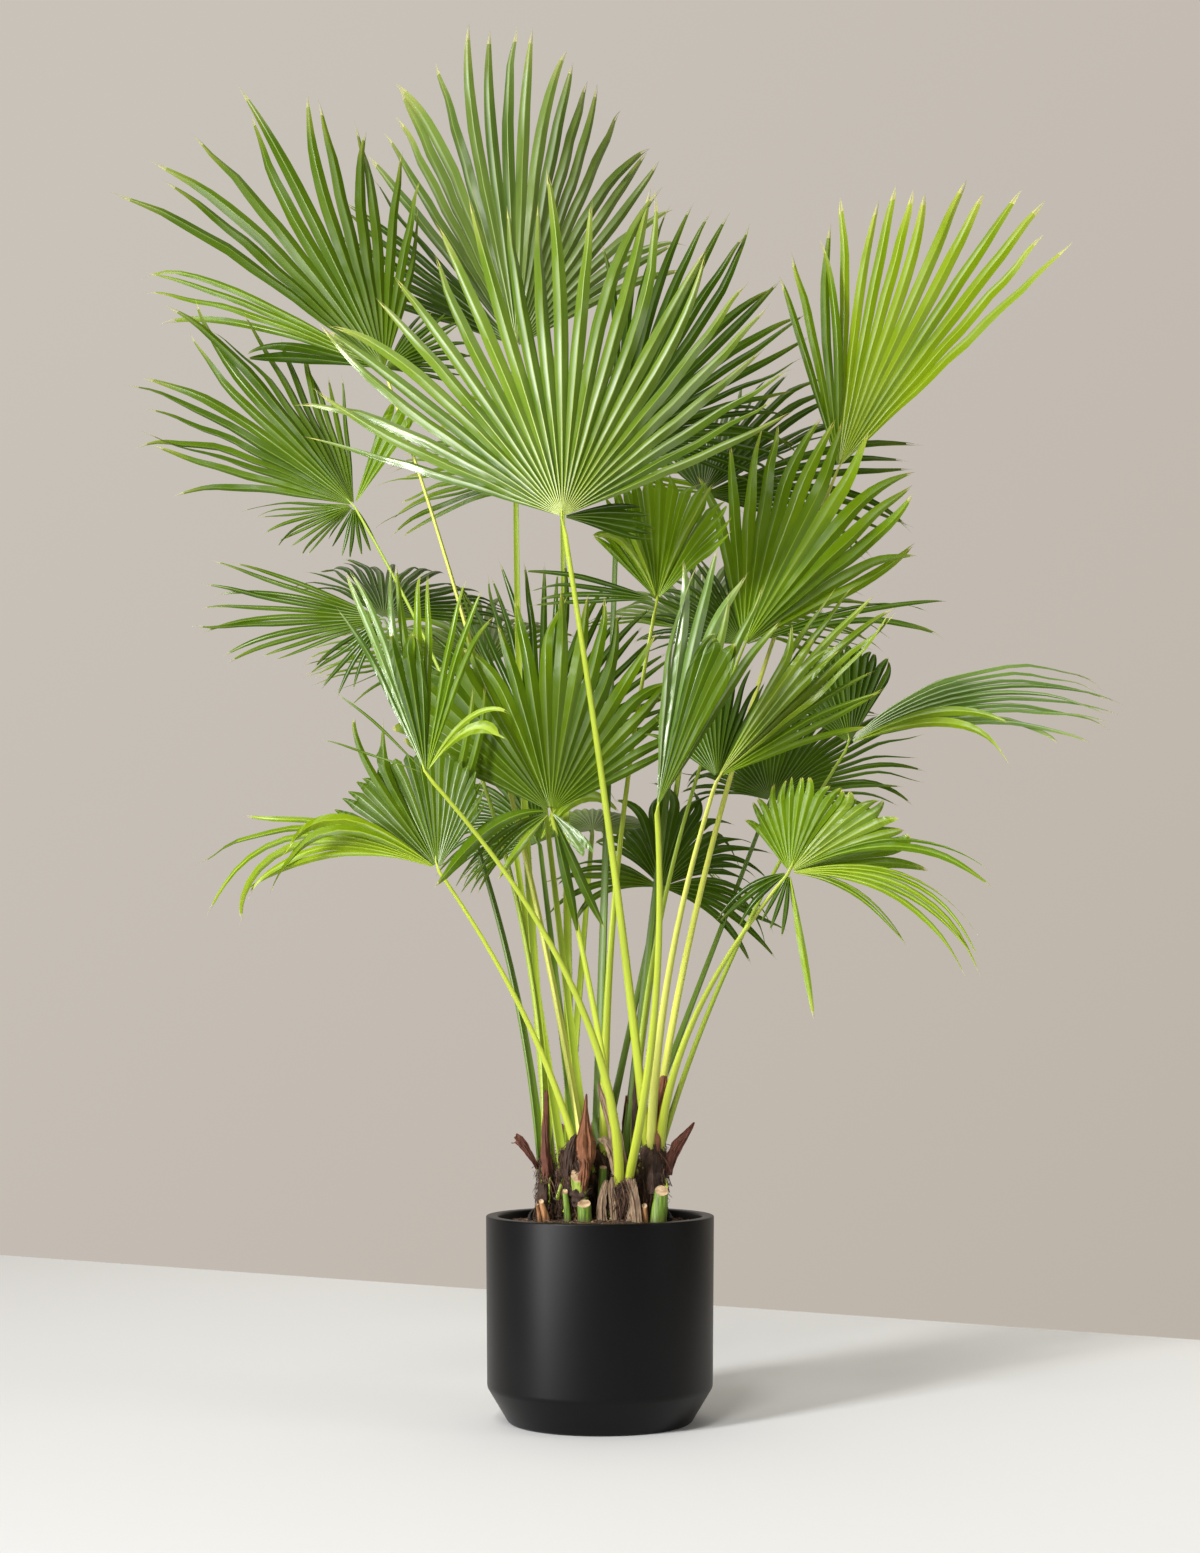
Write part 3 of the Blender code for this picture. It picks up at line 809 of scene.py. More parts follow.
        fan(52, -8, 0.148, (16, 22), (0, 0), 0.10, (0.85, 1.22), "bright", step=6.4, split=0.82,
            taper=0.5, pleat=0.4),
        fan(84, -10, 0.300, (6, 10), (-15, 10), 0.76, (0.92, 0.92), "lime", step=3.2, tipDroop=1.8),
        fan(66, -12, 0.275, (4, 3), (0, 0), 0.62, (0.92, 0.92), "fresh", step=3.5, split=0.46,
            tipDroop=1.2),
        fan(96, -6, 0.185, (5, 5), (0, 0), 0.80, (0.9, 1.0), "bright", step=5.0),
        fan(171, -8, 0.192, (4, 4), (0, 0), 0.10, (1.0, 1.0), "lime", step=8.0, split=0.30, loose=0.3),
        fan(186, 10, 0.085, (22, 30), (0, 0), 0.20, (0.9, 0.9), "deep", step=13.0, split=0.20),
        fan(-110, 12, 0.115, (20, 14), (0, 0), 0.50, (0.9, 0.9), "deep", step=11.0, split=0.40,
            tipDroop=1.4)),
    "low_centre": frond(
        "middle", (0.080, 0.17, 0.705), 0.0, "dark",
        fan(12, 20, 0.190, (46, 50), (-20, -10), 0.40, (0.80, 0.95), "deep", step=5.6, split=0.66,
            tipDroop=1.8, loose=1.8, arch=0.3),
        fan(-66, 10, 0.200, (20, 14), (0, 0), 0.70, (0.8, 0.9), "leaf", step=7.0, split=0.36,
            tipDroop=1.6, loose=1.6),
        fan(88, 4, 0.210, (18, 22), (0, 0), 0.80, (0.9, 0.8), "deep", step=8.0, split=0.40, tipDroop=1.6,
            loose=1.6)),
    "low_right": frond(
        "back_right", (0.225, 0.24, 0.820), 0.0, "dark",
        fan(24, 25, 0.270, (80, 80), (-35, 30), 0.30, (0.65, 0.65), "deep", tipDroop=1.2)),
    "low_left": frond(
        "left_middle", (-0.080, 0.21, 0.765), 0.0, "dark",
        fan(-40, 12, 0.190, (64, 50), (0, -20), 0.80, (0.70, 0.70), "deep", tipDroop=1.4),
        fan(30, -24, 0.200, (8, 8), (0, 0), 1.30, (1.0, 0.9), "lime", step=8.0, split=0.40)),
    "back_top": frond(
        "back_left", (-0.050, 0.38, 1.245), 0.0, "mid",
        fan(-4, 40, 0.406, (84, 84), (-12, -12), 0.25, (0.70, 0.70), "mid", split=0.44)),
    "back_right": frond(
        "back_right", (0.130, 0.35, 1.040), 0.0, "mid",
        fan(30, 46, 0.345, (70, 84), (-30, 32), 0.35, (0.70, 0.70), "mid", split=0.44)),
    "back_left": frond(
        "back_left", (-0.150, 0.33, 1.000), 0.0, "mid",
        fan(-32, 46, 0.330, (84, 62), (32, -30), 0.35, (0.70, 0.70), "mid", split=0.44)),
    "back_low": frond(
        "back_left", (-0.010, 0.35, 0.780), 0.0, "mid",
        fan(0, 66, 0.300, (88, 88), (-8, -8), 0.45, (0.70, 0.70), "mid", split=0.44)),
}


def bladeFinish(name, deep, fresh, tipColour, through, roughness, specular, sheen):
    def build(tree, place):
        tint = tree.node("ShaderNodeAttribute", {"attribute_name": "tint"}).other("Fac")
        chart = tree.node("ShaderNodeUVMap", {"uv_map": "chart"})
        along = tree.part(chart, "Y")
        streak = tree.noise(tree.stretched(chart, (700.0, 3.0, 1.0)), 1.0, 2.0, 0.5)
        cloud = tree.noise(place, 7.0, 2.0)
        share = tint * 0.5 + cloud * 0.7 + (streak - 0.5) * 0.5 + along * 0.25 - 0.28
        green = tree.blend(tree.clamped(share), paint(deep), paint(fresh))
        nearTip = tree.mapped(along, 0.84, 0.99)
        # painted highlight: a pale gleam painted into the colour beside some of the ribs
        spot = tree.maths("FRACT", tree.part(chart, "X") * 50.0)
        side = 1.3 - tree.maths("ABSOLUTE", spot - 0.32) * 6.0
        patch = tree.noise(tree.stretched(chart, (38.0, 3.0, 1.0)), 1.0, 1.0) * 5.0 - 2.15
        paintedGleam = tree.clamped(side) * tree.clamped(patch)
        green = tree.blend(paintedGleam * sheen, green, paint(blade["paintedGleam"]))
        wavy = tree.noise(tree.stretched(chart, (45.0, 8.0, 1.0)), 1.0, 1.0)
        return {
            "Base Color": tree.blend(nearTip * (tint * 0.6 + 0.25), green, paint(tipColour)),
            "Roughness": cloud * 0.16 + (roughness - 0.08),
            "Bump": (0.5, streak * 0.4 + wavy * 5.0),
        }
    made = finish(name, build, Specular_IOR_Level=specular)
    letThrough(made, through)
    return made


def letThrough(material, colour):
    # a leaf lets a little light through
    tree = Tree(material.node_tree)
    shader = material.node_tree.nodes["Principled BSDF"]
    behind = tree.node("ShaderNodeBsdfTranslucent", {}, {"Color": paint(colour)})
    mixed = tree.node("ShaderNodeMixShader", {}, {
        0: blade["through"], 1: Wire(tree, shader.outputs[0]), 2: behind})
    output = material.node_tree.nodes["Material Output"]
    material.node_tree.links.new(mixed.socket, output.inputs["Surface"])


def ribFinish(name, pale, green):
    # pale at the hub, nearly the blade's own green towards the tips
    def build(tree, place):
        chart = tree.node("ShaderNodeUVMap", {"uv_map": "chart"})
        along = tree.part(chart, "Y")
        away = tree.mapped(along, 0.10, 0.62)
        outer = tuple(c * 0.95 for c in green)
        return {"Base Color": tree.blend(away, paint(pale), paint(outer))}
    return finish(name, build, roughness=0.36)


def plainLeafFinish(name, colour, roughness):
    def build(tree, place):
        cloud = tree.noise(place, 60.0, 2.0)
        darker = tuple(c * 0.72 for c in colour)
        return {"Base Color": tree.blend(cloud, paint(darker), paint(colour))}
    return finish(name, build, roughness=roughness)


def fingerStrip():
    # one pleat of a blade, flat: x is across it, y is 0 at the hub, 1 at the split and 2 at the tip
    points = []
    rows = blade["innerRows"] + blade["outerRows"]
    for rise in rows:
        points += [(x, rise, 0.0) for x in (-2.0, -1.0, 1.0, 2.0)]
    faces = bands(len(rows) - 1, 4, closed=False)
    last = (len(rows) - 1) * 4
    for sign, inner, outer in ((-1, last + 1, last), (1, last + 2, last + 3)):
        first = len(points)
        points += [(sign * 1.2, 1.95, 0.0), (sign * 1.8, 1.95, 0.0), (sign * 1.5, 2.0, 0.0)]
        quad = (inner, outer, first + 1, first)
        point = (first, first + 1, first + 2)
        faces += [quad, point] if sign > 0 else [quad[::-1], point[::-1]]
    mesh = bpy.data.meshes.new("finger strip")
    mesh.from_pydata(points, [], faces)
    return source("finger strip", mesh)


def flatFingers(tree):
    # one flat strip for each finger, each with its own random numbers
    size, index = tree.size, tree.index()
    one = tree.node("GeometryNodeMeshLine", {"mode": "OFFSET"}, {
        "Count": size["Fingers"], "Offset": (0, 0, 0)})
    numbers = {
        "finger": index * 1.0,
        "tint": tree.random(0.0, 1.0, index, 1),
        "bend": tree.random(-1.0, 1.0, index, 2),
        "short": tree.random(0.0, 1.0, index, 3),
        "roll": tree.random(-1.0, 1.0, index, 4),
        "hang": tree.random(0.0, 1.0, index, 5),
        "lift": tree.random(-1.0, 1.0, index, 6)}
    for label, value in numbers.items():
        one = tree.store(one, label, value)
    flat = tree.real(tree.copies(one, tree.shape("Strip")))
    spot = tree.node("GeometryNodeInputPosition")
    flat = tree.store(flat, "across", tree.part(spot, "X") * 1.0)
    flat = tree.store(flat, "rise", tree.part(spot, "Y") * 1.0)
    finger, across, rise = (tree.attribute(label) for label in ("finger", "across", "rise"))
    chart = tree.vector((finger + across * 0.245 + 0.5) * 0.02, rise * 0.5)
    return tree.store(flat, "chart", chart, data_type="FLOAT2", domain="CORNER")


def bladeTree():
    # a pleated fan of fingers round a hub
    sizes = ("Reach", "Left", "Right", "Fold Left", "Fold Right", "Droop", "Side Left", "Side Right",
             "Split", "Pleat", "Loose", "Tip Droop", "Curl", "Taper", "Bend At", "Arch")
    tree = Growth("pleated fan", {
        "Strip": "object", "Fingers": int, "Hub": Vector, "Along": Vector, "Side": Vector, "Off": Vector,
        **{label: float for label in sizes}, "Blade": "material", "Rib": "material", "Tip": "material",
        "Seed": int})
    size = tree.size
    flat = flatFingers(tree)
    get = {label: tree.attribute(label) for label in fingerMarks}
    across, rise = get["across"], get["rise"]

    def least(a, b):
        return tree.maths("MINIMUM", a, b)

    def most(a, b):
        return tree.maths("MAXIMUM", a, b)

    def choose(condition, no, yes):
        return no + (yes - no) * condition

    def sine(angle):
        return tree.maths("SINE", angle)

    def cosine(angle):
        return tree.maths("COSINE", angle)

    def heading(angle):
        # the direction in which a finger leaves the hub
        toRight = angle > 0.0
        blend = least(tree.maths("ABSOLUTE", angle) / blade["foldBlend"], 1.0)
        fold = choose(toRight, size["Fold Left"], size["Fold Right"]) * blend * blend * (3.0 - blend * 2.0)
        facing = toRight * 2.0 - 1.0
        wing = size["Side"] * cosine(fold) + size["Off"] * (facing * sine(fold))
        return size["Along"] * cosine(angle) + wing * sine(angle)

    def reachAt(angle):
        toRight = angle > 0.0
        widest = choose(toRight, size["Left"], size["Right"])
        outermost = choose(toRight, size["Side Left"], size["Side Right"])
        share = least(tree.maths("ABSOLUTE", angle) / widest, 1.0)
        return size["Reach"] * (1.0 - (1.0 - outermost) * share * share)

    def unit(vector):
        return tree.node("ShaderNodeVectorMath", {"operation": "NORMALIZE"}, {0: vector})

    def pulled(start, way):
        # the direction of a finger at a share of its way, bent down by its weight
        z = tree.part(start, "Z")
        level = tree.maths("SQRT", most(1.0 - z * z, 0.0))
        pull = size["Droop"] * level * blade["droopScale"] * way ** size["Bend At"]
        pull = pull + size["Tip Droop"] * get["hang"] * get["hang"] * get["hang"] * way ** 5.0
        pull = pull + z * size["Arch"] * way ** blade["archAt"]
        return unit(start + tree.vector(z=pull * -1.0))

    def reached(start, length, share):
        total = None
        for k in range(blade["marchSteps"]):
            step = pulled(start, share * ((k + 0.5) / blade["marchSteps"]))
            total = step if total is None else total + step
        return size["Hub"] + total * (length * share / float(blade["marchSteps"]))

    inner = least(rise, 1.0)
    outer = most(rise - 1.0, 0.0)
    wide = size["Left"] + size["Right"]
    step = wide / size["Fingers"]
    middle = (get["finger"] + 0.5) * step - size["Left"] + outer * outer * (
        get["bend"] * size["Loose"] * blade["sway"] + size["Curl"])
    narrow = (1.0 - outer) ** size["Taper"]
    sign = tree.maths("SIGN", across)
    code = tree.maths("ABSOLUTE", across)
    hubShare = blade["hubRadius"] / size["Reach"]
    rough = choose(rise > 1.0, hubShare + (size["Split"] - hubShare) * inner, size["Split"] + outer * 0.5)
    ribShare = least(blade["ribHalf"] / (step * 0.5 * narrow * rough * size["Reach"] + 0.00001), 0.7)
    fromRib = most(code - 1.0, 0.0)
    over = sign * (least(code, 1.0) * ribShare + fromRib * (1.0 - ribShare))
    angle = middle + over * narrow * step * 0.5
    widest = choose(angle > 0.0, size["Left"], size["Right"])
    sideways = tree.maths("ABSOLUTE", angle) / widest
    split = size["Split"] * (1.0 - sideways * sideways * blade["splitDip"])
    free = (1.0 - split) * (1.0 - get["short"] * get["short"] * size["Loose"] * blade["shorten"])
    share = hubShare + (split - hubShare) * inner + free * outer
    length = reachAt(angle)
    start = heading(angle)
    point = reached(start, length, share)
    ahead = pulled(start, share)
    aside = unit(heading(angle + 0.02) - heading(angle - 0.02))
    face = unit(tree.node("ShaderNodeVectorMath", {"operation": "CROSS_PRODUCT"}, {0: aside, 1: ahead}))
    halfWidth = step * 0.5 * narrow * share * length
    height = halfWidth * size["Pleat"] * (1.0 - share * blade["pleatFade"])
    ridge = (0.5 - fromRib) * height
    lift = get["lift"] * outer * outer * size["Loose"] * size["Reach"] * blade["lift"]
    waves, shift, depth = blade["swell"]
    swell = sine(share * length * waves + angle * shift) * depth * inner
    waves, shift, depth = blade["ripple"]
    ripple = sine(share * length * waves + get["finger"] * shift) * depth * outer
    point = point + face * (ridge + lift + swell + ripple)
    centre = reached(heading(middle), reachAt(middle), share)
    turn = get["roll"] * size["Loose"] * outer * blade["roll"]
    rolled = tree.node("ShaderNodeVectorRotate", {"rotation_type": "AXIS_ANGLE"}, {
        "Vector": point, "Center": centre, "Axis": ahead, "Angle": turn})
    dressed = tree.clad(tree.moved(flat, Position=rolled), "Blade")
    dressed = tree.clad(dressed, "Rib", Selection=tree.maths("MULTIPLY", code < 1.01, rise < 1.89))
    tree.end(tree.clad(dressed, "Tip", Selection=rise > 1.92))
    return tree


def seen(across, depth, up):
    spread = 1.0 + depth / studio["distance"]
    return Vector((across * spread, depth, studio["height"] + (up - studio["height"]) * spread))


def bladeAxes(one):
    lean, back = radians(one["lean"]), radians(one["back"])
    along = Vector((sin(lean) * cos(back), sin(back), cos(lean) * cos(back)))
    off = (toViewer - along * toViewer.dot(along)).normalized()
    return along, along.cross(off), off


def bladeSizes(part, hub):
    # the inputs of a fan, from its entry in the table
    along, side, off = bladeAxes(part)
    left, right = (radians(angle) for angle in part["spread"])
    foldLeft, foldRight = (radians(angle) for angle in part["fold"])
    sizes = {
        "Fingers": max(1, round((left + right) / radians(part["step"]))), "Hub": hub, "Along": along,
        "Side": side, "Off": off, "Left": left, "Right": right, "Fold Left": foldLeft,
        "Fold Right": foldRight, "Side Left": part["sides"][0], "Side Right": part["sides"][1],
        "Tip Droop": part["tipDroop"], "Bend At": part["bendAt"]}
    for label in ("Reach", "Droop", "Split", "Pleat", "Loose", "Curl", "Taper", "Arch"):
        sizes[label] = part[label.lower()]
    return sizes


def bladeSkins():
    skins = {}
    for tone, (deep, fresh, ribColour, tipColour, through, *looks) in palette.items():
        skins[tone] = {"Blade": bladeFinish(tone + " blade", deep, fresh, tipColour, through, *looks),
                       "Rib": ribFinish(tone + " rib", ribColour, fresh),
                       "Tip": plainLeafFinish(tone + " tip", tipColour, 0.6)}
    return skins


def buildBlades():
    strip = fingerStrip()
    seed = source("seed", bpy.data.meshes.new("seed"))
    tree = bladeTree()
    skins = bladeSkins()
    for number, (name, one) in enumerate(fronds.items()):
        hub = seen(*one["hub"])
        parts = []
        for turn, part in enumerate(one["fans"]):
            parts.append(tree.grow(name + "_fan", seed, {
                "Strip": strip, **bladeSizes(part, hub), **skins[part["tone"]],
                "Seed": 100 + number * 31 + turn * 7}))
        mesh = joined(name + "_fan", parts)
        weld(mesh)
        place(name + "_fan", mesh, "blade", name + "_blade")


def weld(mesh):
    for name in fingerMarks:
        mesh.attributes.remove(mesh.attributes[name])
    shape = bmesh.new()
    shape.from_mesh(mesh)
    bmesh.ops.remove_doubles(shape, verts=shape.verts, dist=2e-5)
    shape.to_mesh(mesh)
    shape.free()
    mesh.shade_smooth()
    mesh.set_sharp_from_angle(angle=blade["sharp"])


# Stems

stems = {
    # foot, lean, top, foot radius, belly radius, top radius
    "left": ((-0.073, 0.000), (0.002, 0.000), 0.345, 0.0130, 0.0120, 0.0125),
    "left_middle": ((-0.030, -0.012), (0.002, 0.000), 0.372, 0.0165, 0.0205, 0.0160),
    "middle": ((0.002, 0.022), (0.000, 0.004), 0.360, 0.0140, 0.0150, 0.0135),
    "front": ((0.026, -0.034), (0.004, 0.000), 0.320, 0.0130, 0.0140, 0.0130),
    "right": ((0.068, -0.004), (0.004, 0.000), 0.366, 0.0165, 0.0200, 0.0180),
    "back_right": ((0.036, 0.058), (0.004, 0.006), 0.350, 0.0160, 0.0180, 0.0160),
    "back_left": ((-0.042, 0.056), (-0.004, 0.006), 0.355, 0.0150, 0.0165, 0.0145),
}

trunk = {
    "sides": 48,
    "rows": 40,
    "levels": (0.0, 0.14, 0.45, 0.80, 0.93, 1.0),
    "turns": 5.5,
    "clasp": 0.14,
    "relief": 0.09,
}

fibres = {
    # colours from dark to pale; a strand's length, width, bulge and kink; strands on a square metre
    "trunk": ((0.008, 0.005, 0.003), (0.058, 0.028, 0.016), (0.230, 0.120, 0.062)),
    "nets": {
        "fine": {"strand": (0.024, 0.0008, 0.0010, 0.0006), "lean": 1.1, "count": 60000.0,
                 "colours": ((0.014, 0.007, 0.004), (0.070, 0.034, 0.018), (0.210, 0.110, 0.058))},
        "frayed": {"strand": (0.034, 0.0017, 0.0016, 0.0012), "lean": 0.5, "count": 11000.0,
                   "colours": ((0.022, 0.010, 0.006), (0.100, 0.044, 0.022), (0.290, 0.150, 0.078))},
    },
}

stalk = {
    "footRadius": 0.0072,
    "tipRadius": 0.0033,
    "spacing": 0.0122,
    "rings": 40,
    "costa": 0.022,
    "points": 20,
    "basePoints": 8,
    "spineLength": 0.0021,
    "spineGap": 0.0075,
    "spineReach": 0.42,
    "colours": {
        "pale": ((0.425, 0.470, 0.045), (0.670, 0.690, 0.150)),
        "lime": ((0.275, 0.370, 0.012), (0.500, 0.575, 0.050)),
        "mid": ((0.180, 0.280, 0.010), (0.400, 0.500, 0.040)),
        "dark": ((0.060, 0.120, 0.008), (0.150, 0.240, 0.022)),
    },
}


stalkBases = {
    # stalks whose base shows on the outside of the stem, and how far up the stem it starts
    "narrow_front": 0.0, "front_centre": 0.03, "upright_left": 0.05, "lower_left": 0.15, "small_middle": 0.05,
    "lower_right": 0.45, "arching_right": 0.60, "folded_right": 0.70, "middle_left": 0.35, "big_centre": 0.72,
    "low_centre": 0.10, "back_low": 0.15, "back_left": 0.30, "low_right": 0.20, "behind_centre": 0.62,
}


def stemAxis(stem, share):
    foot, lean, top = stems[stem][:3]
    low = soil["height"]
    return Vector((foot[0] + lean[0] * share, foot[1] + lean[1] * share, low + (top - low) * share))


def stalkFeet():
    # round the top of each stem, the stalk that leans out most takes the side that it leans to
    feet = {}
    for stem in stems:
        top = stemAxis(stem, 1.0)
        ways = [(seen(*one["hub"]) - top, name) for name, one in fronds.items() if one["stem"] == stem]
        ways.sort(key=lambda way: way[0].z / way[0].length)
        first = atan2(ways[0][0].y, ways[0][0].x)
        count = len(ways)
        free = [first + tau * k / count for k in range(count)]
        ring = stalk["spacing"] / 2 / sin(pi / count)
        for way, name in ways:
            slot = max(free, key=lambda turn: cos(turn - atan2(way.y, way.x)))
            free.remove(slot)
            feet[name] = top + Vector((ring * cos(slot), ring * sin(slot), 0.0))
    return feet


def stalkTree():
    # a channelled stalk along a path, with spines on its two edges
    tree = Growth("channelled stalk", {
        "Foot Radius": float, "Tip Radius": float, "Spine Length": float, "Spines": int, "Spine Reach": float,
        "Skin": "material", "Spine Skin": "material", "Seed": int})
    size = tree.size
    path = tree.node("GeometryNodeResampleCurve", {"mode": "COUNT"}, {
        "Curve": tree.start, "Count": stalk["rings"]})
    path = tree.node("GeometryNodeSetCurveNormal", {"mode": "Z_UP"}, {"Curve": path})
    share = tree.node("GeometryNodeSplineParameter").other("Factor")
    path = tree.store(path, "along", tree.node("GeometryNodeSplineParameter").other("Length"))

    def radiusAt(share):
        return size["Tip Radius"] + (size["Foot Radius"] - size["Tip Radius"]) * (1.0 - share) ** 1.4

    radius = radiusAt(share) * tree.maths("MINIMUM", (1.0 - share) * 26.0 + 0.12, 1.0)
    ring = tree.node("GeometryNodeCurvePrimitiveCircle", {"mode": "RADIUS"}, {
        "Resolution": 12, "Radius": 1.0})
    spot = tree.node("GeometryNodeInputPosition")
    across, depth = tree.part(spot, "X"), tree.part(spot, "Y")
    channel = tree.maths("MAXIMUM", depth * 0.8, across * across * -0.25 - 0.10)
    ring = tree.moved(tree.store(ring, "around", across * 1.0), Position=tree.vector(across, channel))
    body = tree.node("GeometryNodeCurveToMesh", {}, {
        "Curve": path, "Profile Curve": ring, "Scale": radius, "Fill Caps": True})
    spots = tree.node("GeometryNodeCurveToPoints", {"mode": "COUNT"}, {
        "Curve": path, "Count": size["Spines"]})
    along, normal = spots.other("Tangent"), spots.other("Normal")
    index = tree.index()
    way = index / size["Spines"]
    thorn = tree.node("GeometryNodeMeshCone", {}, {
        "Vertices": 4, "Radius Top": 0.0, "Radius Bottom": 0.28, "Depth": 1.0})
    thorns = []
    for sign in (-1.0, 1.0):
        out = tree.maths("MULTIPLY", normal, sign) - along * 0.35
        nudge = tree.random(-0.5, 0.5, index, 3 + sign)
        moved = tree.moved(spots, Offset=normal * (radiusAt(way) * sign * 0.93) + along * (nudge * 0.006))
        length = size["Spine Length"] * tree.random(0.5, 1.0, index, 6 + sign)
        thorns.append(tree.copies(moved, thorn, Selection=way < size["Spine Reach"],
                                  Rotation=tree.turned(out, axis="Z"), Scale=length))
    thorns = tree.real(tree.node("GeometryNodeJoinGeometry", {}, {"Geometry": thorns}))
    tree.end(tree.node("GeometryNodeJoinGeometry", {}, {
        "Geometry": [tree.clad(body, "Skin"), tree.clad(thorns, "Spine Skin")]}))
    return tree


def stalkFinish(name, dark, light):
    def build(tree, place):
        along, around = (tree.node("ShaderNodeAttribute", {"attribute_name": name}).other("Fac")
                         for name in ("along", "around"))
        streak = tree.noise(tree.vector(around * 2.6, along * 7.0), 1.0, 3.0, 0.6)
        cloud = tree.noise(place, 5.0, 2.0)
        low = tree.mapped(tree.part(place, "Z"), 0.75, 0.32)
        share = tree.clamped(streak * 0.7 + cloud * 0.5 + low * 0.3 - 0.2)
        return {
            "Base Color": tree.blend(share, paint(dark), paint(light)),
            "Roughness": 0.36 + streak * 0.12,
            "Bump": (0.25, streak),
        }
    return finish(name, build)


def stalkPath(name, one, foot):
    # from the side of the stem, through the stalk's foot, to a little way up the blade
    hub = seen(*one["hub"])
    middle = (foot + hub) / 2 + Vector((one["bow"], 0.0, 0.0))
    control = middle * 2 - (foot + hub) / 2
    stem = one["stem"]
    top = stemAxis(stem, 1.0)
    share = stalkBases.get(name, 0.55)
    out = foot - top
    out.z = 0.0
    if out.length < 0.001:
        out = Vector((0.0, -1.0, 0.0))
    footRadius, bellyRadius = stems[stem][3:5]
    cover = footRadius + (bellyRadius - footRadius) * min(1.0, share * 2)
    base = stemAxis(stem, share) + out.normalized() * (cover * (0.94 if name in stalkBases else 0.5))
    lean = (control - foot).normalized()
    bend = foot - lean * ((foot - base).length * 0.5)
    points = bentPath(base, bend, foot, stalk["basePoints"])[:-1]
    points += bentPath(foot, control, hub, stalk["points"])
    along, side, off = bladeAxes(one["fans"][0])
    points.append(hub + along * stalk["costa"] - off * 0.0012)
    return points


def bentPath(start, pull, end, steps):
    # a curve from start to end that leans towards pull
    points = []
    for k in range(steps + 1):
        part = k / steps
        rest = 1.0 - part
        points.append(start * (rest * rest) + pull * (2 * rest * part) + end * (part * part))
    return points


def buildStalks():
    tree = stalkTree()
    skins = {tone: stalkFinish(tone + " stalk", *colours) for tone, colours in stalk["colours"].items()}
    thornSkin = plainLeafFinish("spine", (0.16, 0.13, 0.03), 0.5)
    feet = stalkFeet()
    for number, (name, one) in enumerate(fronds.items()):
        points = stalkPath(name, one, feet[name])
        curve = bpy.data.curves.new(name, "CURVE")
        curve.dimensions = "3D"
        spline = curve.splines.new("POLY")
        spline.points.add(len(points) - 1)
        for spot, point in zip(spline.points, points):
            spot.co = (*point, 1.0)
        length = sum((b - a).length for a, b in zip(points, points[1:]))
        mesh = tree.grow(name + "_petiole", source(name + " path", curve), {
            "Foot Radius": stalk["footRadius"], "Tip Radius": stalk["tipRadius"],
            "Spine Length": stalk["spineLength"], "Spines": round(length / stalk["spineGap"]),
            "Spine Reach": stalk["spineReach"], "Skin": skins[one["stalk"]], "Spine Skin": thornSkin,
            "Seed": 40 + number})
        mesh.shade_smooth()
        mesh.set_sharp_from_angle(angle=radians(50))
        place(name + "_petiole", mesh, "stalk", name + "_stalk")


def fibreFinish(name, dark, middle, pale):
    def build(tree, place):
        streak = tree.noise(tree.stretched(place, (300.0, 300.0, 60.0)), 1.0, 5.0, 0.65)
        patch = tree.noise(place, 55.0, 3.0)
        colour = tree.ramp(streak, [(0.30, dark), (0.50, middle), (0.72, pale)])
        return {"Base Color": tree.blend(patch * 0.6, colour, paint(dark)), "Bump": (1.0, streak)}
    return finish(name, build, roughness=0.85)


def fibreTree():
    # thin strands that lie round a trunk in a loose net
    tree = Growth("fibre net", {"Strand": "object", "Count": float, "Lean": float, "Lift": float,
                                "Skin": "material", "Seed": int})
    size = tree.size
    spots = tree.strewn("Count")
    normal = spots.other("Normal")
    index = tree.index()
    out = tree.turned(normal, axis="Z")
    upright = tree.node("FunctionNodeAlignRotationToVector", {"axis": "Y", "pivot_axis": "Z"}, {
        "Rotation": out, "Vector": (0.0, 0.0, 1.0)})
    lean = tree.random(-1.0, 1.0, index, 2) * size["Lean"]
    turn = tree.vector(tree.random(-0.35, 0.12, index, 1), z=lean)
    turned = tree.node("FunctionNodeRotateRotation", {"rotation_space": "LOCAL"}, {
        "Rotation": upright, "Rotate By": turn})
    lifted = tree.moved(spots, Offset=normal * size["Lift"])
    scale = tree.random(0.5, 1.3, index, 3)
    copies = tree.copies(lifted, tree.shape("Strand"), Rotation=turned, Scale=scale)
    tree.end(tree.clad(tree.real(copies), "Skin"))
    return tree


def strandShape(name, length, width, bulge, kink):
    # one flattened fibre of a few faces, lying along Y
    points = []
    rows = 6
    for r in range(rows + 1):
        share = r / rows
        half = width / 2 * (1 - abs(share - 0.45) ** 2 * 2.2)
        x = kink * sin(share * 5.0)
        z = bulge * sin(pi * share)
        y = (share - 0.5) * length
        points += [(x - half, y, z), (x, y, z + width * 0.35), (x + half, y, z)]
    return source(name, meshFrom(name, points, bands(rows, 3, closed=False)))


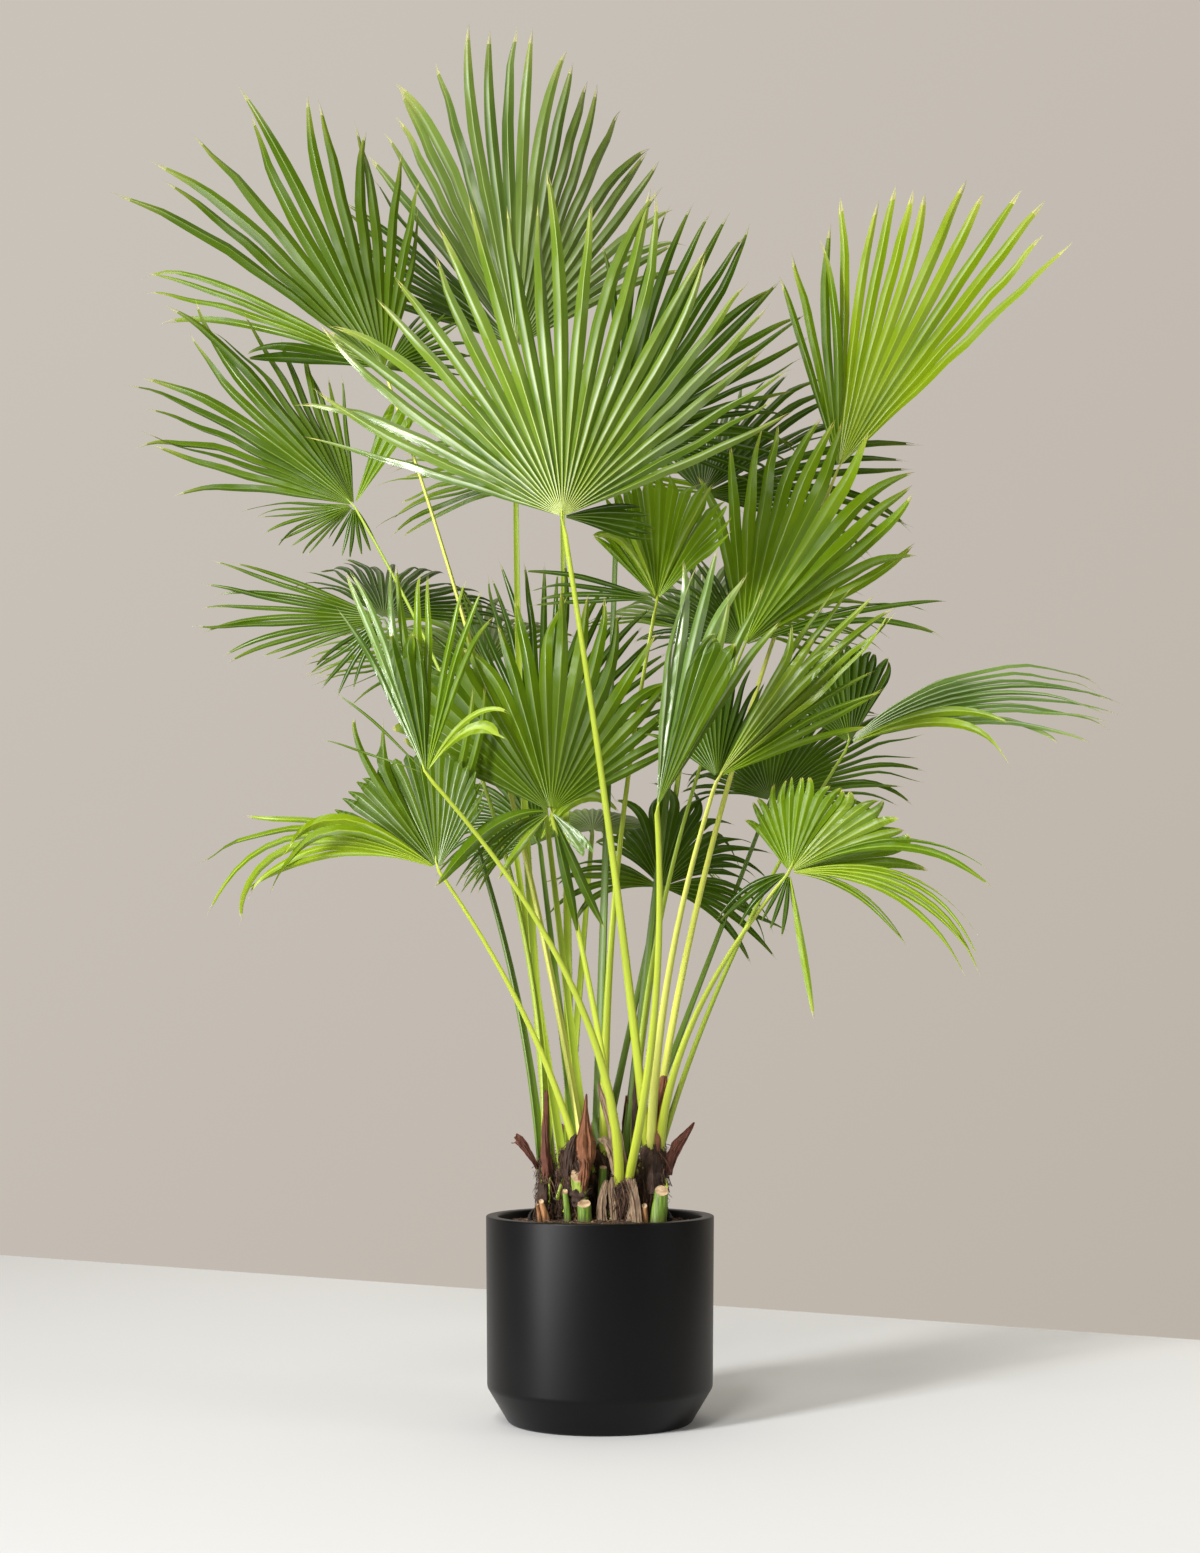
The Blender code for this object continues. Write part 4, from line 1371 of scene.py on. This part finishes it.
def trunkMesh(number, stem, skin):
    # a short stem that old leaf bases clasp in slanting turns
    footRadius, bellyRadius, topRadius = stems[stem][3:]
    radii = (footRadius * 1.10, footRadius, bellyRadius, bellyRadius * 0.95, topRadius * 0.90,
             topRadius * 0.62)
    sides, rows = trunk["sides"], trunk["rows"]
    points = []
    for r in range(rows + 1):
        share = r / rows
        middle = stemAxis(stem, share)
        radius = float(np.interp(share, trunk["levels"], radii))
        for k in range(sides):
            turn = tau * k / sides
            out = Vector((cos(turn), sin(turn), 0.0))
            spot = middle + out * radius
            relief = noise.fractal(Vector((spot.x * 120, spot.y * 120, spot.z * 50 + number)), 1.0, 2.0, 4)
            turnShare = (share * trunk["turns"] + turn / tau * 2 + 0.25 * sin(turn + number)) % 1.0
            clasp = trunk["clasp"] * (1 - turnShare) ** 1.5
            points.append(middle + out * (radius * (0.82 + clasp + trunk["relief"] * relief)))
    faces = bands(rows, sides)
    faces += [tuple(reversed(range(sides))), tuple(range(rows * sides, (rows + 1) * sides))]
    return meshFrom("trunk", points, faces, [skin], sharp=60)


def buildStems():
    skin = fibreFinish("brown fibre", *fibres["trunk"])
    nets = fibreTree()
    strands = {}
    for kind, one in fibres["nets"].items():
        strands[kind] = (strandShape(kind + " strand", *one["strand"]),
                         fibreFinish(kind + " fibre", *one["colours"]))
    for number, stem in enumerate(stems):
        mesh = trunkMesh(number, stem, skin)
        place("stem_" + stem + "_trunk", mesh, "stem", "stem_" + stem)
        base = source("trunk " + stem, mesh.copy())
        for kind, (strand, strandSkin) in strands.items():
            one = fibres["nets"][kind]
            mesh = nets.grow("fibres", base, {
                "Strand": strand, "Count": one["count"], "Lean": one["lean"], "Lift": 0.0002,
                "Skin": strandSkin, "Seed": number * 5 + 3})
            place("stem_" + stem + "_fibres_" + kind, mesh, "stem")


# Dry sheaths, a dead leaf and cut leaf bases: places are as the camera sees them, widths in millimetres

huskTones = {
    "reddish": ((0.062, 0.018, 0.012), (0.250, 0.082, 0.042)),
    "orange": ((0.120, 0.040, 0.016), (0.400, 0.160, 0.070)),
    "papery": ((0.130, 0.080, 0.046), (0.520, 0.370, 0.235)),
    "dark": ((0.014, 0.007, 0.005), (0.120, 0.060, 0.034)),
}

sheath = {
    "rows": 18,
    "columns": 9,
    "thickness": 0.0007,
    "backFrom": 0.04,
}

husks = {
    # path, widths, how much it wraps, ragged end in millimetres, tone
    "left_sheath": ([(-0.0700, -0.014, 0.322), (-0.0707, -0.018, 0.339), (-0.0726, -0.016, 0.371),
        (-0.0715, -0.013, 0.405), (-0.0707, -0.010, 0.428), (-0.0715, -0.008, 0.437)], (15, 15, 11, 8, 6,
        4), 0.9, 1, "reddish"),
    "left_flap": ([(-0.0820, -0.006, 0.333), (-0.0871, -0.014, 0.343), (-0.0956, -0.018, 0.356), (-0.1051,
        -0.022, 0.369), (-0.1126, -0.024, 0.373)], (5, 6, 9, 13, 14), 0.35, 5, "reddish"),
    "left_collar": ([(-0.0760, -0.018, 0.276), (-0.0750, -0.019, 0.295), (-0.0740, -0.017, 0.314)], (15,
        18, 13), 0.8, 4, "dark"),
    "bulb_sheath": ([(-0.0182, -0.034, 0.326), (-0.0182, -0.040, 0.348), (-0.0195, -0.038, 0.368),
        (-0.0197, -0.030, 0.388), (-0.0190, -0.025, 0.412), (-0.0178, -0.022, 0.432)], (12, 24, 28, 16, 6,
        1), 0.9, 0, "orange"),
    "bulb_ridge": ([(-0.0240, -0.038, 0.300), (-0.0215, -0.042, 0.322), (-0.0195, -0.042, 0.345)], (10,
        14, 10), 0.7, 3, "orange"),
    "bulb_frill": ([(-0.0280, -0.034, 0.284), (-0.0286, -0.040, 0.293), (-0.0258, -0.042, 0.303)], (26,
        32, 28), 0.8, 7, "dark"),
    "bulb_left": ([(-0.0428, -0.026, 0.322), (-0.0409, -0.034, 0.344), (-0.0371, -0.032, 0.364), (-0.0314,
        -0.028, 0.379)], (13, 16, 13, 5), 0.7, 3, "dark"),
    "dead_leaf": ([(0.0479, -0.050, 0.262), (0.0431, -0.046, 0.296), (0.0309, -0.042, 0.328), (0.0233,
        -0.040, 0.354), (0.0186, -0.040, 0.382), (0.0092, -0.038, 0.411), (0.0007, -0.034, 0.435),
        (-0.0016, -0.032, 0.447)], (14, 15, 17, 21, 17, 11, 5, 1), 0.3, 0, "papery"),
    "dead_tip": ([(0.0224, -0.043, 0.325), (0.0177, -0.048, 0.352), (0.0092, -0.050, 0.368), (-0.0003,
        -0.052, 0.373)], (11, 16, 11, 7), 0.3, 3, "papery"),
    "dead_flap_a": ([(0.0029, -0.044, 0.262), (0.0022, -0.044, 0.286), (0.0054, -0.042, 0.307), (0.0092,
        -0.040, 0.317)], (12, 12, 8, 4), 0.4, 2, "papery"),
    "dead_flap_b": ([(0.0195, -0.048, 0.262), (0.0177, -0.046, 0.286), (0.0148, -0.044, 0.307), (0.0177,
        -0.042, 0.322)], (10, 11, 8, 5), 0.4, 3, "papery"),
    "dead_flap_c": ([(0.0394, -0.046, 0.262), (0.0441, -0.046, 0.286), (0.0450, -0.044, 0.307), (0.0441,
        -0.042, 0.319)], (17, 13, 9, 4), 0.4, 2, "papery"),
    "dark_sheath": ([(0.0469, -0.004, 0.350), (0.0469, -0.004, 0.382), (0.0488, -0.002, 0.413), (0.0501,
        0.0, 0.447), (0.0488, 0.0, 0.479), (0.0475, 0.002, 0.496)], (6, 11, 13, 12, 7, 1), 0.6, 0, "dark"),
    "right_sheath": ([(0.0762, -0.016, 0.345), (0.0771, -0.022, 0.371), (0.0781, -0.022, 0.390), (0.0796,
        -0.020, 0.418), (0.0828, -0.018, 0.441), (0.0856, -0.016, 0.456)], (10, 11, 15, 20, 15, 8), 0.9,
        3, "orange"),
    "right_flap": ([(0.0885, -0.008, 0.325), (0.0941, -0.014, 0.346), (0.1017, -0.018, 0.363), (0.1139,
        -0.022, 0.379), (0.1243, -0.026, 0.394)], (13, 15, 15, 9, 1), 0.35, 0, "reddish"),
    "right_collar": ([(0.0724, -0.028, 0.300), (0.0700, -0.030, 0.322), (0.0690, -0.028, 0.343), (0.0700,
        -0.024, 0.360)], (20, 28, 30, 22), 0.9, 6, "dark"),
    "back_flap": ([(-0.0420, 0.078, 0.330), (-0.0460, 0.090, 0.360), (-0.0520, 0.100, 0.392)], (14, 17,
        6), 0.5, 4, "reddish"),
    "back_sheath": ([(0.0370, 0.079, 0.310), (0.0360, 0.082, 0.350), (0.0350, 0.076, 0.395), (0.0350,
        0.072, 0.430)], (18, 22, 12, 2), 0.9, 0, "orange"),
    "back_leaf": ([(0.0020, 0.066, 0.262), (0.0030, 0.070, 0.300), (-0.0040, 0.072, 0.345), (-0.0100,
        0.070, 0.395)], (13, 20, 15, 2), 0.3, 0, "papery"),
}

stubs = {
    # foot, top, half-widths at foot and top in millimetres, tilt of the cut, skin
    "front_cut": ((-0.0197, -0.044, 0.260), (-0.0211, -0.046, 0.287), 9.5, 8.6, 0.5, "green"),
    "right_cut": ((0.0762, -0.036, 0.258), (0.0815, -0.038, 0.304), 11.5, 8.8, 0.7, "green"),
    "bulb_cut": ((-0.0258, -0.030, 0.294), (-0.0286, -0.034, 0.325), 10.5, 9.6, 0.9, "lime"),
    "tan_peg": ((-0.0692, -0.030, 0.260), (-0.0777, -0.034, 0.290), 5.5, 3.2, 0.8, "tan"),
    "tan_peg_b": ((-0.0786, -0.026, 0.260), (-0.0830, -0.030, 0.286), 3.5, 1.8, 0.5, "tan"),
    "green_peg": ((-0.0418, -0.034, 0.260), (-0.0462, -0.036, 0.303), 5.0, 3.6, 0.9, "green"),
    "small_cut": ((0.0596, -0.040, 0.260), (0.0588, -0.042, 0.284), 4.6, 3.4, 0.9, "tan"),
    "middle_peg": ((0.0007, -0.004, 0.258), (0.0044, -0.002, 0.335), 6.0, 5.0, 0.4, "green"),
    "back_cut": ((-0.0150, 0.070, 0.258), (-0.0160, 0.074, 0.300), 9.0, 7.5, -0.6, "green"),
    "back_peg": ((0.0700, 0.050, 0.258), (0.0760, 0.054, 0.292), 5.0, 3.6, -0.5, "tan"),
}


stub = {
    "sides": 20,
    "rows": 10,
    "tones": {
        "green": ((0.045, 0.090, 0.008), (0.200, 0.330, 0.030)),
        "lime": ((0.110, 0.180, 0.012), (0.330, 0.430, 0.050)),
        "tan": ((0.180, 0.075, 0.025), (0.480, 0.240, 0.100)),
    },
    "cutFace": ((0.290, 0.180, 0.095), (0.620, 0.450, 0.270)),
}


def smoothPath(points, rows):
    # Catmull-Rom through the points
    made = []
    for r in range(rows + 1):
        at = r / rows * (len(points) - 1)
        k = min(int(at), len(points) - 2)
        share = at - k
        a = points[max(k - 1, 0)]
        b, c = points[k], points[k + 1]
        d = points[min(k + 2, len(points) - 1)]
        made.append(0.5 * ((b * 2) + (c - a) * share + (a * 2 - b * 5 + c * 4 - d) * share ** 2
                           + (b * 3 - a - c * 3 + d) * share ** 3))
    return made


def huskMesh(name, path, widths, wrap, ragged, material, seed):
    # a thin dry sheath that follows a path and curls round it
    rows, columns = sheath["rows"], sheath["columns"]
    middle = smoothPath([seen(*spot) for spot in path], rows)
    facing = toViewer if path[0][1] < sheath["backFrom"] else -toViewer
    points = []
    for r, spot in enumerate(middle):
        share = r / rows
        tangent = (middle[min(r + 1, rows)] - middle[max(r - 1, 0)]).normalized()
        side = tangent.cross(facing).normalized()
        out = side.cross(tangent)
        width = float(np.interp(share * (len(widths) - 1), range(len(widths)), widths)) / 2000
        for k in range(columns):
            u = k / (columns - 1) * 2 - 1
            wave = noise.noise(Vector((u * 2.3 + seed, share * 5.0, seed * 1.7)))
            half = 1.0 if u > 0 else -1.0
            edge = 1 + 0.22 * noise.noise(Vector((share * 9.0, seed * 3.1, half))) * abs(u)
            pleat = 0.0006 * cos(k * pi) * (1 - share * 0.4)
            end = ragged / 1000 * noise.noise(Vector((u * 4.0, seed * 2.3, 5.0))) * share ** 3 * 1.6
            depth = width * (wave * 0.45 - wrap * u * u) + pleat
            points.append(spot + side * (u * width * edge) + out * depth + tangent * end)
    mesh = bpy.data.meshes.new(name)
    mesh.from_pydata([tuple(p) for p in points], [], bands(rows, columns, closed=False))
    shape = bmesh.new()
    shape.from_mesh(mesh)
    bmesh.ops.solidify(shape, geom=shape.faces[:], thickness=sheath["thickness"])
    bmesh.ops.recalc_face_normals(shape, faces=shape.faces)
    shape.to_mesh(mesh)
    shape.free()
    mesh.materials.append(material)
    mesh.shade_smooth()
    mesh.set_sharp_from_angle(angle=radians(50))
    return mesh


def stubMesh(name, foot, top, footHalf, topHalf, tilt, skin, cut, seed):
    # the cut-off base of an old stalk
    sides, rows = stub["sides"], stub["rows"]
    foot, top = seen(*foot), seen(*top)
    axis = (top - foot).normalized()
    side = axis.cross(Vector((0, 1, 0))).normalized()
    ahead = side.cross(axis)
    points = []
    for r in range(rows + 1):
        share = r / rows
        half = (footHalf + (topHalf - footHalf) * share) / 1000
        for k in range(sides):
            turn = tau * k / sides
            rough = 1 + 0.07 * noise.noise(Vector((cos(turn) * 1.7, sin(turn) * 1.7, share * 3 + seed)))
            depth = sin(turn) * (0.72 if sin(turn) > 0 else 0.9)
            slope = tilt * sin(turn) * half * share ** 4
            rag = 0.0006 * noise.noise(Vector((turn * 4, seed, 0.3))) * share ** 6
            points.append(foot + (top - foot) * share + side * (cos(turn) * half * rough)
                          - ahead * (depth * half * rough) + axis * (-slope + rag))
    faces = bands(rows, sides)
    last = rows * sides
    rim = [points[last + k] for k in range(sides)]
    centre = sum(rim, Vector()) / sides
    points += [centre + (spot - centre) * 0.72 - axis * 0.0008 for spot in rim]
    points += [centre - axis * 0.0022, foot]
    for k in range(sides):
        after = (k + 1) % sides
        faces.append((last + k, last + after, last + sides + after, last + sides + k))
        faces.append((last + sides + k, last + sides + after, last + sides * 2))
        faces.append((k, last + sides * 2 + 1, after))
    mesh = turnedOut(meshFrom(name, points, faces, [skin, cut]))
    for face in mesh.polygons:
        middle = sum((mesh.vertices[v].co for v in face.vertices), Vector()) / len(face.vertices)
        if abs(face.normal.dot(axis)) > 0.45 and (middle - top).length < topHalf * 0.0022:
            face.material_index = 1
    return mesh


def buildHusks():
    skins = {}
    for tone, (dark, pale) in huskTones.items():
        middle = tuple((a + b) / 2.6 for a, b in zip(dark, pale))
        skins[tone] = fibreFinish(tone + " sheath", dark, middle, pale)
    for tone in huskTones:
        parts = [huskMesh(name, *shape, skins[tone], seed)
                 for seed, (name, (*shape, kind)) in enumerate(husks.items()) if kind == tone]
        place("sheaths_" + tone, joined("sheaths_" + tone, parts), "stem")
    stubSkins = {tone: stubFinish(tone + " stub", *colours) for tone, colours in stub["tones"].items()}
    cut = crumbFinish("cut face", *stub["cutFace"])
    parts = [stubMesh(name, foot, top, footHalf, topHalf, tilt, stubSkins[tone], cut, seed)
             for seed, (name, (foot, top, footHalf, topHalf, tilt, tone)) in enumerate(stubs.items())]
    place("cut_leaf_bases", joined("cut_leaf_bases", parts), "stem")


def stubFinish(name, dark, pale):
    # green stalk skin that browns towards the soil
    def build(tree, place):
        streak = tree.noise(tree.stretched(place, (300.0, 300.0, 30.0)), 1.0, 4.0, 0.6)
        low = tree.mapped(tree.part(place, "Z") + streak * 0.012, 0.282, 0.266)
        light = tree.ramp(streak, [(0.35, (0, 0, 0)), (0.62, (1, 1, 1))])
        green = tree.blend(light, paint(dark), paint(pale))
        return {"Base Color": tree.blend(low, green, paint((0.060, 0.034, 0.018))), "Bump": (0.4, streak)}
    return finish(name, build, roughness=0.5)


growRim = {
    "low": 0.2550,
    "radius": 0.0930,
    "arc": radians(190),
    "steps": 60,
    "height": 0.014,
    "rise": 0.023,
    # the rolled lip: how far out, and the share of the height
    "section": [(-0.0012, 0.0), (0.0006, 0.0), (0.0006, 0.72), (0.0022, 0.78), (0.0024, 0.90), (0.0012, 1.0),
                (-0.0008, 1.0), (-0.0012, 0.90)],
}


def buildGrowRim():
    # the back of the thin nursery pot, whose lip rolls outwards
    black = crumbFinish("nursery pot", (0.010, 0.010, 0.010), (0.022, 0.021, 0.020))
    steps, section = growRim["steps"], growRim["section"]
    points = []
    for k in range(steps + 1):
        share = k / steps
        turn = pi / 2 + growRim["arc"] * (share - 0.5)
        height = growRim["height"] + growRim["rise"] * sin(pi * share)
        for out, up in section:
            r = growRim["radius"] + out
            points.append((r * cos(turn), r * sin(turn), growRim["low"] + height * up))
    n = len(section)
    faces = bands(steps, n) + [tuple(reversed(range(n))), tuple(range(steps * n, (steps + 1) * n))]
    mesh = turnedOut(meshFrom("nursery_rim", points, faces, [black]))
    place("nursery_rim", mesh, "grow_pot", "grow_pot_rim")


print("studio")
buildStudio()
print("planter and soil")
buildPlanter()
buildSoil()
buildGrowRim()
print("stems and stalks")
buildStems()
buildHusks()
buildStalks()
print("blades")
buildBlades()

for thing in sources:
    bpy.data.objects.remove(thing)
print("finished")
